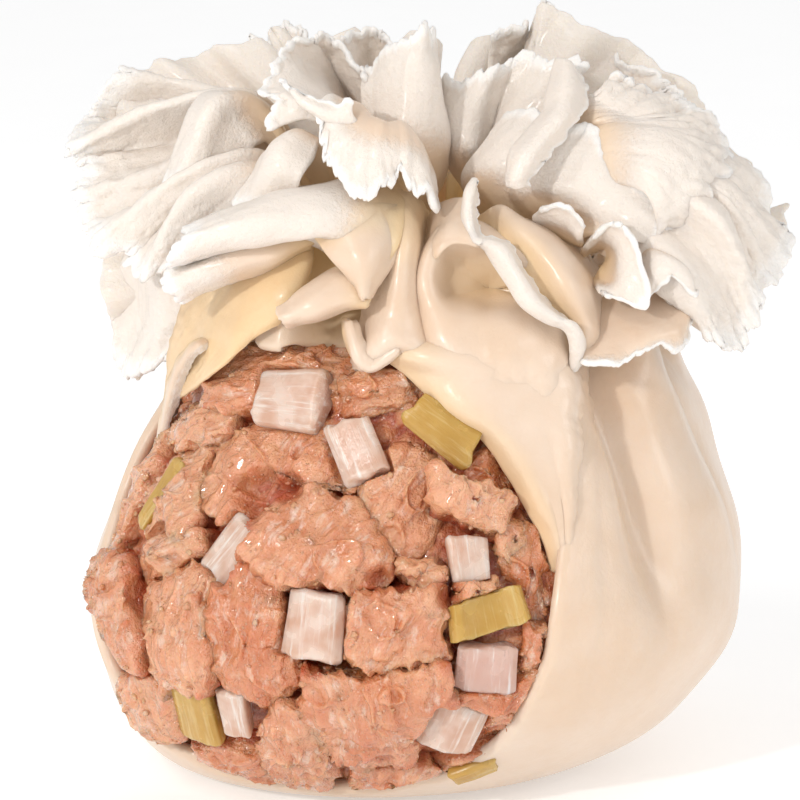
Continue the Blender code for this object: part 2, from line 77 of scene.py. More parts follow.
# Each turn of the flower's deep folds, as its bearing, its lift above level and its reach.
TURNS = [(-100, -25, 22.4), (-92, 27, 25.5), (-80, 0, 21.2), (-70, 29, 17.0), (-58, 1, 18.8),
         (-47, 31, 12.8), (-40, -4, 15.6), (-33, 53, 15.6), (-18, 24, 11.0), (3, 63, 14.6),
         (8, 0, 14.8), (20, 33, 12.2), (38, -15, 18.0), (50, 48, 15.5), (66, -5, 18.2),
         (76, 56, 17.4), (90, -20, 24.2), (100, 2, 26.0), (122, 58, 18.9), (135, -4, 22.0),
         (147, 55, 16.2), (165, 32, 16.2), (183, 58, 16.0), (198, -6, 21.5), (211, 57, 16.4),
         (221, 12, 20.0), (232, 50, 18.6), (252, 28, 23.5)]
SAG = 0.06  # how far the rim draws in between its turns, as a share of its reach
ROLL, ROLL_BEARING, ROLL_SPREAD = 8.0, 14.0, 12.0  # the pleat that rolls over at the front
RIBS = 68
RIB_DEPTH = 0.95
UNEVEN = 0.0022  # how far the ribs crowd together and spread apart, as a share of the way round
SHORT = 0.1  # the share of the round's own rim that stands out at the front, under the petals
COLUMNS = 288  # round the belly's mesh, twice as many at the neck and four times in the flower
# Tucks down the belly: bearing at the top, bearing at the foot, foot height, depth, width, step.
TUCKS = [(36, 27, 3, 0.1, 4.0, 0.3), (42, 50, 8, 2.6, 5.5, 0.0), (62, 84, 6, 0.3, 3.0, 0.5),
         (112, 106, 12, 0.9, 7.0, 0.4), (140, 146, 15, 0.8, 6.5, 0.0), (166, 160, 12, 1.0, 7.0, 0.5),
         (196, 200, 15, 0.7, 6.0, 0.0), (222, 228, 13, 0.9, 7.0, 0.5), (250, 246, 16, 0.7, 6.0, 0.0)]
WINDOW_BEARING = -30.0
WINDOW_HEIGHT = 16.2
WINDOW_HALF_WIDTH = 17.9
WINDOW_HALF_HEIGHT = 15.1
WINDOW_SQUARENESS = 2.3


def bearing_direction(degrees):
    angle = math.radians(degrees)
    return Vector((math.sin(angle), -math.cos(angle), 0))


def smooth(low, high, value):
    t = np.clip((value - low) / (high - low), 0, 1)
    return t * t * (3 - 2 * t)


def grain(points, size, seed=0.0):
    """Smooth noise from -1 to 1 at these points, with features of about this size."""
    shift = Vector((seed * 7.3, seed * 3.1, seed * 5.7))
    return np.array([noise.noise(Vector(p) / size + shift) for p in points.tolist()])


def round_noise(u, number, seed):
    """Noise round the rim that meets itself, with about this many swings in one round."""
    radius = number / (2 * math.pi)
    angle = 2 * math.pi * u
    ring = np.stack([radius * np.cos(angle), radius * np.sin(angle), np.zeros_like(u)], -1)
    return grain(ring, 1.0, seed)


def along_profile(s):
    """Radius, height and lean of the belly at s, 0 at the base's middle and 1 at the neck."""
    points = np.array(BELLY, float)
    place = np.clip(s, 0, 1) * (len(points) - 1)
    index = np.minimum(place.astype(int), len(points) - 2)
    t = (place - index)[..., None]
    a, b, c, d = [points[np.clip(index + k, 0, len(points) - 1)] for k in (-1, 0, 1, 2)]
    curve = 0.5 * (2 * b + (c - a) * t + (2 * a - 5 * b + 4 * c - d) * t**2
                   + (3 * b - a - 3 * c + d) * t**3)
    return curve[..., 0], np.maximum(curve[..., 1], 0), curve[..., 2]


def flower_tables(count=4096):
    """The rim at even steps of u round it: bearing, lift, reach, fold at the neck, bearing there
    and the calmer bearing that the belly follows."""
    turns = np.array(TURNS, float)
    number = len(turns)
    place = np.arange(count * 4 + 1) / (count * 4) * number
    index = np.minimum(place.astype(int), number - 1)
    t = place - index
    ends = turns[(index + 1) % number] + np.array([360.0, 0, 0]) * ((index + 1) // number)[:, None]
    starts = turns[index]
    sideways = t + 0.85 * np.sin(2 * math.pi * t) / (2 * math.pi)
    bearing = starts[:, 0] + (ends[:, 0] - starts[:, 0]) * sideways
    upward = smooth(0, 1, t)
    lift = starts[:, 1] + (ends[:, 1] - starts[:, 1]) * upward
    reach = (starts[:, 2] + (ends[:, 2] - starts[:, 2]) * upward) * (1 - SAG * 4 * t * (1 - t))
    fold = 1 - 2 * smooth(0, 45, lift)
    angle, rise = np.radians(bearing), np.radians(lift)
    edge = reach * np.array([np.cos(rise) * np.sin(angle), -np.cos(rise) * np.cos(angle),
                             np.sin(rise)])
    length = np.concatenate([[0], np.cumsum(np.linalg.norm(np.diff(edge, axis=1), axis=0))])
    u = np.arange(count) / count
    crowded = u + UNEVEN * (np.sin(2 * math.pi * 5 * u) + 0.6 * np.sin(2 * math.pi * 13 * u + 1))
    crowded = (crowded - crowded[0]) * length[-1]
    drift = turns[:, 0] - turns[0, 0] - 360 * np.arange(number) / number
    for _ in range(6):
        drift = (np.roll(drift, 1) + drift + np.roll(drift, -1)) / 3
    drift = drift[index] + (drift[(index + 1) % number] - drift[index]) * sideways
    packed = turns[0, 0] + 360 * (index + sideways) / number + drift
    table = [np.interp(crowded, length, value) for value in (bearing, lift, reach, fold, packed)]
    window = np.exp(-(((u + 0.5) % 1 - 0.5) / 0.055) ** 2)
    drift = np.fft.irfft(np.fft.rfft(table[4] - 360 * u) * np.fft.rfft(window / window.sum()), count)
    return table + [drift + 360 * u]


RIM_TABLES = flower_tables()


def along_rim(u):
    """The columns of the rim's tables at u."""
    count = len(RIM_TABLES[0])
    index = np.floor(u * count).astype(int)
    t = u * count - index
    values = []
    for column, turn in zip(RIM_TABLES, (360, 0, 0, 0, 360, 360)):
        low = column[index % count] + turn * (index // count)
        high = column[(index + 1) % count] + turn * ((index + 1) // count)
        values.append(low + (high - low) * t)
    return values


def belly_surface(u, s):
    """Outer face of the belly and neck, with its tucks and soft lumps."""
    radius, height, lean = along_profile(s)
    _, _, _, fold, packed, calm = along_rim(u)
    gathered = smooth(26, NECK_HEIGHT, height)
    bearing = calm + (packed - calm) * gathered
    radius = radius + NECK_FOLD * gathered**1.3 * fold
    relief = np.zeros_like(radius)
    for top, foot, foot_height, depth, width, step in TUCKS:
        fall = np.clip((NECK_HEIGHT - height) / (NECK_HEIGHT - foot_height), 0, 1)
        away = (bearing - top - (foot - top) * fall + 180) % 360 - 180
        fade = (1 - smooth(0.45, 1.0, fall)) * smooth(0.0, 0.25, fall)
        lap = smooth(-26, -4, away) * (1 - smooth(0, 0.7 * width, away))
        relief += fade * (step * lap - depth * np.exp(-((away / width) ** 2)))
    radius = radius + smooth(11, 13, radius) * relief
    lumps = np.sin(np.radians(bearing * 5 + 40) + height * 0.32) * np.sin(height * 0.41 + 1.3)
    radius = radius + 0.28 * lumps * smooth(2, 7, height) * (1 - smooth(24, 30, height))
    angle = np.radians(bearing)
    depth = radius * (1 - SQUAT * (1 - smooth(0, 11, height)))
    return np.stack([radius * np.sin(angle) + lean, -depth * np.cos(angle), height], -1)


def flower_surface(u, w):
    """The flower's deep folds at w, 0 at the neck and 1 at the rim."""
    start = belly_surface(u, np.ones_like(u))
    bearing, lift, reach, _, _, _ = along_rim(u)
    angle, rise = np.radians(bearing), np.radians(lift)
    way = np.stack([np.cos(rise) * np.sin(angle), -np.cos(rise) * np.cos(angle), np.sin(rise)], -1)
    end = np.array([0, 0, NECK_HEIGHT]) + reach[..., None] * way
    standing = smooth(-10, 45, lift)[..., None]
    bend = start * (np.array([1.22, 1.22, 1]) - np.array([0.14, 0.14, 0]) * standing)
    bend = bend + np.array([0, 0, 1]) * (1.45 * standing - 0.45) * RISE
    rolled = ROLL * np.exp(-((bearing - ROLL_BEARING) / ROLL_SPREAD) ** 2)[..., None]
    bend = bend + rolled * np.array([0.15, -1, -0.3])
    w = w[..., None]
    return (1 - w) ** 2 * start + 2 * w * (1 - w) * bend + w**2 * end


def dough_surface(u, s):
    """The dough's face at s, 0 to 1 up the belly and 1 to 2 out to the rim."""
    belly = belly_surface(u, np.minimum(s, 1))
    flower = flower_surface(u, np.maximum(s - 1, 0))
    return np.where((s > 1)[..., None], flower, belly)


def dough_pattern():
    """The round of dough as a flat pattern: (u, s) points, triangles and the start of each row."""
    foot = [(s, COLUMNS) for s in (0.035, 0.07, 0.1, 0.125, 0.143)]
    belly = [(s, COLUMNS) for s in np.linspace(0.143, 0.74, 50)[1:]]
    neck = [(s, 2 * COLUMNS) for s in np.linspace(0.74, 1.08, 22)[1:]]
    flower = [(s, 4 * COLUMNS) for s in np.linspace(1.08, 2.0, 20)[1:]]
    rows = foot + belly + neck + flower
    points, starts, faces = [], [], []
    for s, count in rows:
        starts.append(len(points))
        points += [(k / count, s) for k in range(count)]
    for row in range(len(rows) - 1):
        low, high, count = starts[row], starts[row + 1], rows[row][1]
        ratio = rows[row + 1][1] // count
        for k in range(count):
            a, b = low + k, low + (k + 1) % count
            fan = [high + (k * ratio + j) % rows[row + 1][1] for j in range(ratio + 1)]
            if ratio == 1:
                faces += [(a, b, fan[1]), (a, fan[1], fan[0])]
            else:
                faces += [(a, fan[1], fan[0]), (a, b, fan[1]), (b, fan[2], fan[1])]
    middle = len(points)
    points.append((0, 0))
    faces += [(middle, (k + 1) % COLUMNS, k) for k in range(COLUMNS)]
    return np.array(points), np.array(faces), list(zip(starts, [count for _, count in rows]))


def window_value(point):
    """Below 0 inside the window's outline and above 0 outside it."""
    out = np.array(bearing_direction(WINDOW_BEARING))
    across = np.array(bearing_direction(WINDOW_BEARING + 90))
    x = point @ across / WINDOW_HALF_WIDTH
    z = (point[:, 2] - WINDOW_HEIGHT) / WINDOW_HALF_HEIGHT
    value = np.abs(x) ** WINDOW_SQUARENESS + np.abs(z) ** WINDOW_SQUARENESS - 1
    return np.where(point @ out > 4, value, 1.0)


def cut_pattern(points, faces, value):
    """Cuts the pattern where value crosses 0 and keeps what lies above it. Corners close to the
    cut move on to it first, so that no slivers are left."""
    points, value = points.copy(), value.copy()
    for a, b in ((0, 1), (1, 2), (2, 0)):
        for i, j in faces[:, (a, b)]:
            if value[i] * value[j] < 0:
                t = value[i] / (value[i] - value[j])
                near = i if t < 0.5 else j
                if min(t, 1 - t) < 0.3 and abs(points[i, 0] - points[j, 0]) < 0.5:
                    points[near] = points[i] + (points[j] - points[i]) * t
                    value[near] = 0
    points = list(map(tuple, points))
    crossing, kept = {}, []

    def cross(i, j):
        key = (min(i, j), max(i, j))
        if key not in crossing:
            t = value[key[0]] / (value[key[0]] - value[key[1]])
            low, high = np.array(points[key[0]]), np.array(points[key[1]])
            crossing[key] = len(points)
            points.append(tuple(low + (high - low) * t))
        return crossing[key]

    for face in faces.tolist():
        inside = [value[i] < 0 for i in face]
        if not any(inside):
            if any(value[i] > 0 for i in face):
                kept.append(face)
            continue
        ring = []
        for k in range(3):
            i, j = face[k], face[(k + 1) % 3]
            if value[i] >= 0:
                ring.append(i)
            if value[i] * value[j] < 0:
                ring.append(cross(i, j))
        if any(i >= len(value) or value[i] > 0 for i in ring):
            kept += [[ring[0], ring[k], ring[k + 1]] for k in range(1, len(ring) - 1)]
    return np.array(points), np.array(kept)


def open_loops(faces):
    """The open edges of a sheet as closed loops of points, in the direction of its faces."""
    edges = {}
    for a, b, c in faces.tolist():
        for edge in ((a, b), (b, c), (c, a)):
            edges[edge] = True
    after = {a: b for a, b in edges if (b, a) not in edges}
    loops = []
    while after:
        loop = [next(iter(after))]
        while loop[-1] in after:
            loop.append(after.pop(loop[-1]))
        loops.append(loop[:-1])
    return sorted(loops, key=len)


def corner_normals(points, faces):
    """Unit normals at the corners of a triangle mesh."""
    a, b, c = (points[faces[:, k]] for k in range(3))
    flat = np.cross(b - a, c - a)
    total = np.zeros_like(points)
    for k in range(3):
        np.add.at(total, faces[:, k], flat)
    return total / np.maximum(np.linalg.norm(total, axis=1, keepdims=True), 1e-12)


def room_inside(point, normal):
    """How far each point of a ring can move along its normal before it crosses its neighbours."""
    limit = np.full(len(point), 1e3)
    for turn in range(1, 10):
        for way in (turn, -turn):
            step = np.roll(point, way, axis=0) - point
            closing = -np.sum(step * (np.roll(normal, way, axis=0) - normal), -1)
            limit = np.minimum(limit, np.sum(step**2, -1) / np.maximum(closing, 1e-6))
    for _ in range(3):
        limit = np.minimum(limit, np.minimum(np.roll(limit, 1), np.roll(limit, -1)) + 0.03)
    return 0.75 * limit


def ruffle(u, s, place):
    """How far the rim's crimps and creases push the dough along its normal."""
    w = np.clip(s - 1, 0, 1.2)
    size = 0.16 * smooth(0.82, 1, s) + 0.84 * smooth(1.05, 2.0, s) ** 1.3
    uneven = 0.75 + 0.25 * np.sin(2 * math.pi * 7 * u + 2) + 0.45 * round_noise(u, 90, 1)
    ribs = RIB_DEPTH * size * uneven * np.cos(2 * math.pi * RIBS * u + 1.2 * round_noise(u, 40, 2))
    crimps = 0.42 * w**2.2 * round_noise(u, 330, 3) + 0.16 * w**3 * round_noise(u, 800, 4)
    curl = 1.5 * smooth(0.7, 1.05, w) ** 1.5 * round_noise(u, 34, 5)
    crumple = smooth(0.9, 1.3, s) * (0.3 * grain(place, 3.6, 6) + 0.14 * grain(place, 1.3, 7))
    return ribs + crimps + curl + crumple


def build_wrapper():
    """Returns the dough's pattern and triangles, its outer and inner faces, and how far out towards the rim
    each corner reaches.
    """
    pattern, faces, rows = dough_pattern()
    value = window_value(dough_surface(pattern[:, 0], pattern[:, 1]))
    value += 0.02 * np.sin(40 * pattern[:, 0] * 2 * math.pi) * (np.abs(value) < 0.5)
    pattern, faces = cut_pattern(pattern, faces, value)
    u, s = pattern[:, 0], pattern[:, 1]
    rim = smooth(1.6, 2.0, s)
    ragged = 0.030 * round_noise(u, 150, 8) + 0.024 * round_noise(u, 420, 9)
    ragged -= 0.07 * smooth(0.25, 0.6, round_noise(u, 75, 10)) * smooth(0.1, 0.3, round_noise(u, 260, 11))
    calm = (along_rim(u)[5] + 180) % 360 - 180
    short = SHORT + (1 - SHORT) * smooth(76, 102, np.abs(calm))
    far = np.where(s > 1.02, 1 + (s - 1) * short * (1 + rim * ragged), s)
    bare = dough_surface(u, far)
    hollow = np.exp(-(((calm - ROLL_BEARING) / 15) ** 2)) * smooth(31.2, 33.5, bare[:, 2])
    bare[:, :2] *= 1 - 0.62 * hollow[:, None]
    middle = bare + corner_normals(bare, faces) * ruffle(u, s, bare)[:, None]
    normal = corner_normals(middle, faces)
    flower = smooth(0.95, 1.25, s)
    necked = smooth(0.78, 1.0, s) * (1 - 0.8 * smooth(1.1, 1.7, s))
    wall = WALL + (EDGE_WALL - WALL) * flower
    wall = wall + (NECK_WALL - wall) * necked
    wall = wall * (1 - 0.35 * smooth(1.9, 2.0, s) * (1 + round_noise(u, 200, 12)))
    outward, inward = wall * 0.5 * flower, wall * (1 - 0.5 * flower)
    for start, count in rows:
        if s[start] > 0.76:
            ring = slice(start, start + count)
            outward[ring] = np.minimum(outward[ring], room_inside(middle[ring], normal[ring]))
            inward[ring] = np.minimum(inward[ring], room_inside(middle[ring], -normal[ring]))
    outer = middle + normal * outward[:, None]
    inner = middle - normal * inward[:, None]
    inner[:, 2] = np.where(s < 0.2, np.maximum(inner[:, 2], 0.9), inner[:, 2])
    return pattern, faces, outer, inner, far


def close_sheet(faces, outer, inner, steps=3, bulge=0.42):
    """Joins the two faces of a sheet into one closed shell with rounded edges."""
    total = len(outer)
    verts = [outer, inner]
    rest = [faces, faces[:, ::-1] + total]
    source = [np.arange(total), np.arange(total)]
    start = 2 * total
    for loop in open_loops(faces):
        loop = np.array(loop)
        a, b = outer[loop], inner[loop]
        along = np.roll(a, -1, axis=0) - np.roll(a, 1, axis=0)
        out = np.cross(along, a - b)
        out /= np.maximum(np.linalg.norm(out, axis=1, keepdims=True), 1e-9)
        size = np.linalg.norm(a - b, axis=1, keepdims=True)
        rings = [loop]
        for k in range(1, steps + 1):
            t = k / (steps + 1)
            verts.append(a + (b - a) * t + out * size * bulge * math.sin(math.pi * t))
            source.append(loop)
            rings.append(np.arange(start, start + len(loop)))
            start += len(loop)
        rings.append(loop + total)
        for low, high in zip(rings, rings[1:]):
            rest.append(np.stack([np.roll(low, -1), low, high], 1))
            rest.append(np.stack([np.roll(low, -1), high, np.roll(high, -1)], 1))
    return np.concatenate(verts), np.concatenate(rest), np.concatenate(source)


def make_piece(name, points, faces, marks=None):
    """A smooth-shaded mesh object at the origin. marks hold a number or a vector for each corner,
    by name."""
    mesh = bpy.data.meshes.new(name)
    mesh.from_pydata((np.asarray(points) * MM).tolist(), [], np.asarray(faces).tolist())
    for label, values in (marks or {}).items():
        values = np.asarray(values, np.float32)
        kind, field = ("FLOAT", "value") if values.ndim == 1 else ("FLOAT_VECTOR", "vector")
        mesh.attributes.new(label, kind, "POINT").data.foreach_set(field, values.ravel())
    mesh.shade_smooth()
    piece = bpy.data.objects.new(name, mesh)
    bpy.context.scene.collection.objects.link(piece)
    return piece


class Wire:
    """A value in a material. Sums on it add Math nodes, and node() adds any other node."""

    def __init__(self, tree, socket=None):
        self.tree, self.socket = tree, socket

    def node(self, kind, settings=None, sockets=None, output=0):
        node = self.tree.nodes.new(kind)
        for name, setting in (settings or {}).items():
            if name == "stops":
                ramp = node.color_ramp.elements
                while len(ramp) < len(setting):
                    ramp.new(0.5)
                for stop, (position, colour) in zip(ramp, setting):
                    stop.position, stop.color = position, (*colour, 1)
            else:
                setattr(node, name, setting)
        for key, value in (sockets or {}).items():
            if isinstance(value, Wire):
                self.tree.links.new(value.socket, node.inputs[key])
            else:
                node.inputs[key].default_value = value
        return Wire(self.tree, node.outputs[output])

    def math(self, operation, *values):
        return self.node("ShaderNodeMath", {"operation": operation}, dict(enumerate(values)))

    def __add__(self, other):
        return self.math("ADD", self, other)

    def __sub__(self, other):
        return self.math("SUBTRACT", self, other)

    def __rsub__(self, other):
        return self.math("SUBTRACT", other, self)

    def __mul__(self, other):
        return self.math("MULTIPLY", self, other)

    __radd__, __rmul__ = __add__, __mul__

    def between(self, low, high):
        """0 below low, 1 above high and a smooth rise between them."""
        settings = {"interpolation_type": "SMOOTHSTEP", "clamp": True}
        return self.node("ShaderNodeMapRange", settings, {"Value": self, "From Min": low, "From Max": high})

    def blend(self, first, second):
        """The colour first where this value is 0 and second where it is 1."""
        settings = {"data_type": "RGBA", "clamp_factor": True}
        first, second = [c if isinstance(c, Wire) else (*c, 1) for c in (first, second)]
        return self.node("ShaderNodeMix", settings, {0: self, 6: first, 7: second}, output=2)


def noise_at(place, size, detail=3.0, roughness=0.55, distortion=0.0):
    """Noise from 0 to 1 with features of about this size in millimetres."""
    sockets = {"Vector": place, "Scale": 1 / (size * MM), "Detail": detail, "Roughness": roughness,
               "Distortion": distortion}
    return place.node("ShaderNodeTexNoise", None, sockets)


def start_material(name):
    material = bpy.data.materials.new(name)
    material.use_nodes = True
    tree = material.node_tree
    shader = tree.nodes["Principled BSDF"]
    return material, shader, Wire(tree)


def dress(shader, wires, relief, depth, fixed):
    """Feeds the shader: wires go to sockets that vary, fixed numbers to the rest, and relief is a
    height from 0 to 1 that stands depth millimetres deep."""
    for name, wire in wires.items():
        wire.tree.links.new(wire.socket, shader.inputs[name])
    for name, value in fixed.items():
        shader.inputs[name].default_value = value
    bump = relief.node("ShaderNodeBump", None, {"Height": relief, "Distance": depth * MM})
    relief.tree.links.new(bump.socket, shader.inputs["Normal"])


CREAM = (0.71, 0.515, 0.36)
IVORY = (0.79, 0.645, 0.525)
# Warm yellow painted shade for the dough deep in its folds.
PAINTED_FOLD_SHADE = (0.84, 0.58, 0.27)
FLOURY = (0.87, 0.775, 0.69)
CHALKY = (0.95, 0.90, 0.85)


def dough_material(name, weight, radius, scale):
    """Steamed dough: cream where it is thick, with warm yellow painted shade down in the folds, floury at
    the rim, and a faint painted glow.
    """
    material, shader, wire = start_material(name)
    place = wire.node("ShaderNodeTexCoord", output=3)
    rim = wire.node("ShaderNodeAttribute", {"attribute_name": "rim"}, output=2)
    fold = wire.node("ShaderNodeAttribute", {"attribute_name": "fold"}, output=2)
    cloudy = noise_at(place, 7.0)
    speckle = noise_at(place, 0.32, 4.0, 0.7)
    base = cloudy.between(0.1, 0.9).blend(CREAM, IVORY)
    # Painted shade: warm yellow where the fold mark says the dough lies deep in a fold.
    base = fold.blend(base, PAINTED_FOLD_SHADE)
    flour = (rim + (speckle - 0.5) * 0.5).between(0.35, 0.85)
    colour = flour.blend(base, FLOURY)
    edge = wire.node("ShaderNodeAttribute", {"attribute_name": "edge"}, output=2)
    colour = (edge + (speckle - 0.5) * 0.4).between(0.2, 1.05).blend(colour, CHALKY)
    roughness = 0.34 + flour * 0.3 + (speckle - 0.5) * 0.1
    relief = noise_at(place, 1.6, 4.0) * 0.6 + speckle * (0.12 + 0.8 * flour)
    # The emission is a painted glow in the dough's own colour, which lightens its shade.
    dress(shader, {"Base Color": colour, "Roughness": roughness, "Emission Color": colour}, relief, 0.18,
          {"Subsurface Weight": weight, "Subsurface Radius": radius, "Subsurface Scale": scale,
           "IOR": 1.42, "Coat Weight": 0.25, "Coat Roughness": 0.2, "Emission Strength": 0.05})
    return material


outline, dough_faces, dough_outer, dough_inner, reached = build_wrapper()
dough_points, dough_faces, dough_source = close_sheet(dough_faces, dough_outer, dough_inner)
u, s = outline[dough_source, 0], reached[dough_source]
# Painted shade mask: warm yellow where the neck's dough lies deep in an inward fold.
neck_fold_shade = smooth(0.78, 0.98, s) * (1 - smooth(1.15, 1.6, s)) * (0.5 - 0.5 * along_rim(u)[3])
wrapper = make_piece("dough_wrapper", dough_points, dough_faces,
                     {"rim": smooth(1.0, 1.75, s), "fold": neck_fold_shade})
wrapper.data.materials.append(dough_material("steamed dough", 0.3, (1.0, 0.78, 0.55), 0.0012))
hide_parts("wrapper")
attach(wrapper, "root")

# ---- Petals -------------------------------------------------------------------------------------
# The front half of the dough's gathered rim, as thin petals, curls and folds that fan out over the
# neck, with torn, floury edges. The last group holds the small flaps and thick folds, painted golden
# as shade, between the flower and the window, and the cut dough's own lips.

PETAL_STEP, RAY_STEP = 0.165, 0.3  # between the points of a petal's mesh, along its rim and its rays
TEAR_DEPTH = 0.58
FIRST_PETAL_SEED = 20
# How much warm yellow painted shade a petal has down in its fold, by where its flour starts, as a
# share of its length. Past 1 the flour never shows and the petal is bare dough with painted golden
# shade at its root, past SHADED_ALL_OVER painted shade all over.
FLOUR_STARTS = [-0.5, 0, 1, 2, 2.6, 3]
PETAL_FOLD_SHADE = [0, 0.6, 0.6, 0.5, 0.7, 1.0]
SHADED_ALL_OVER = 2.5
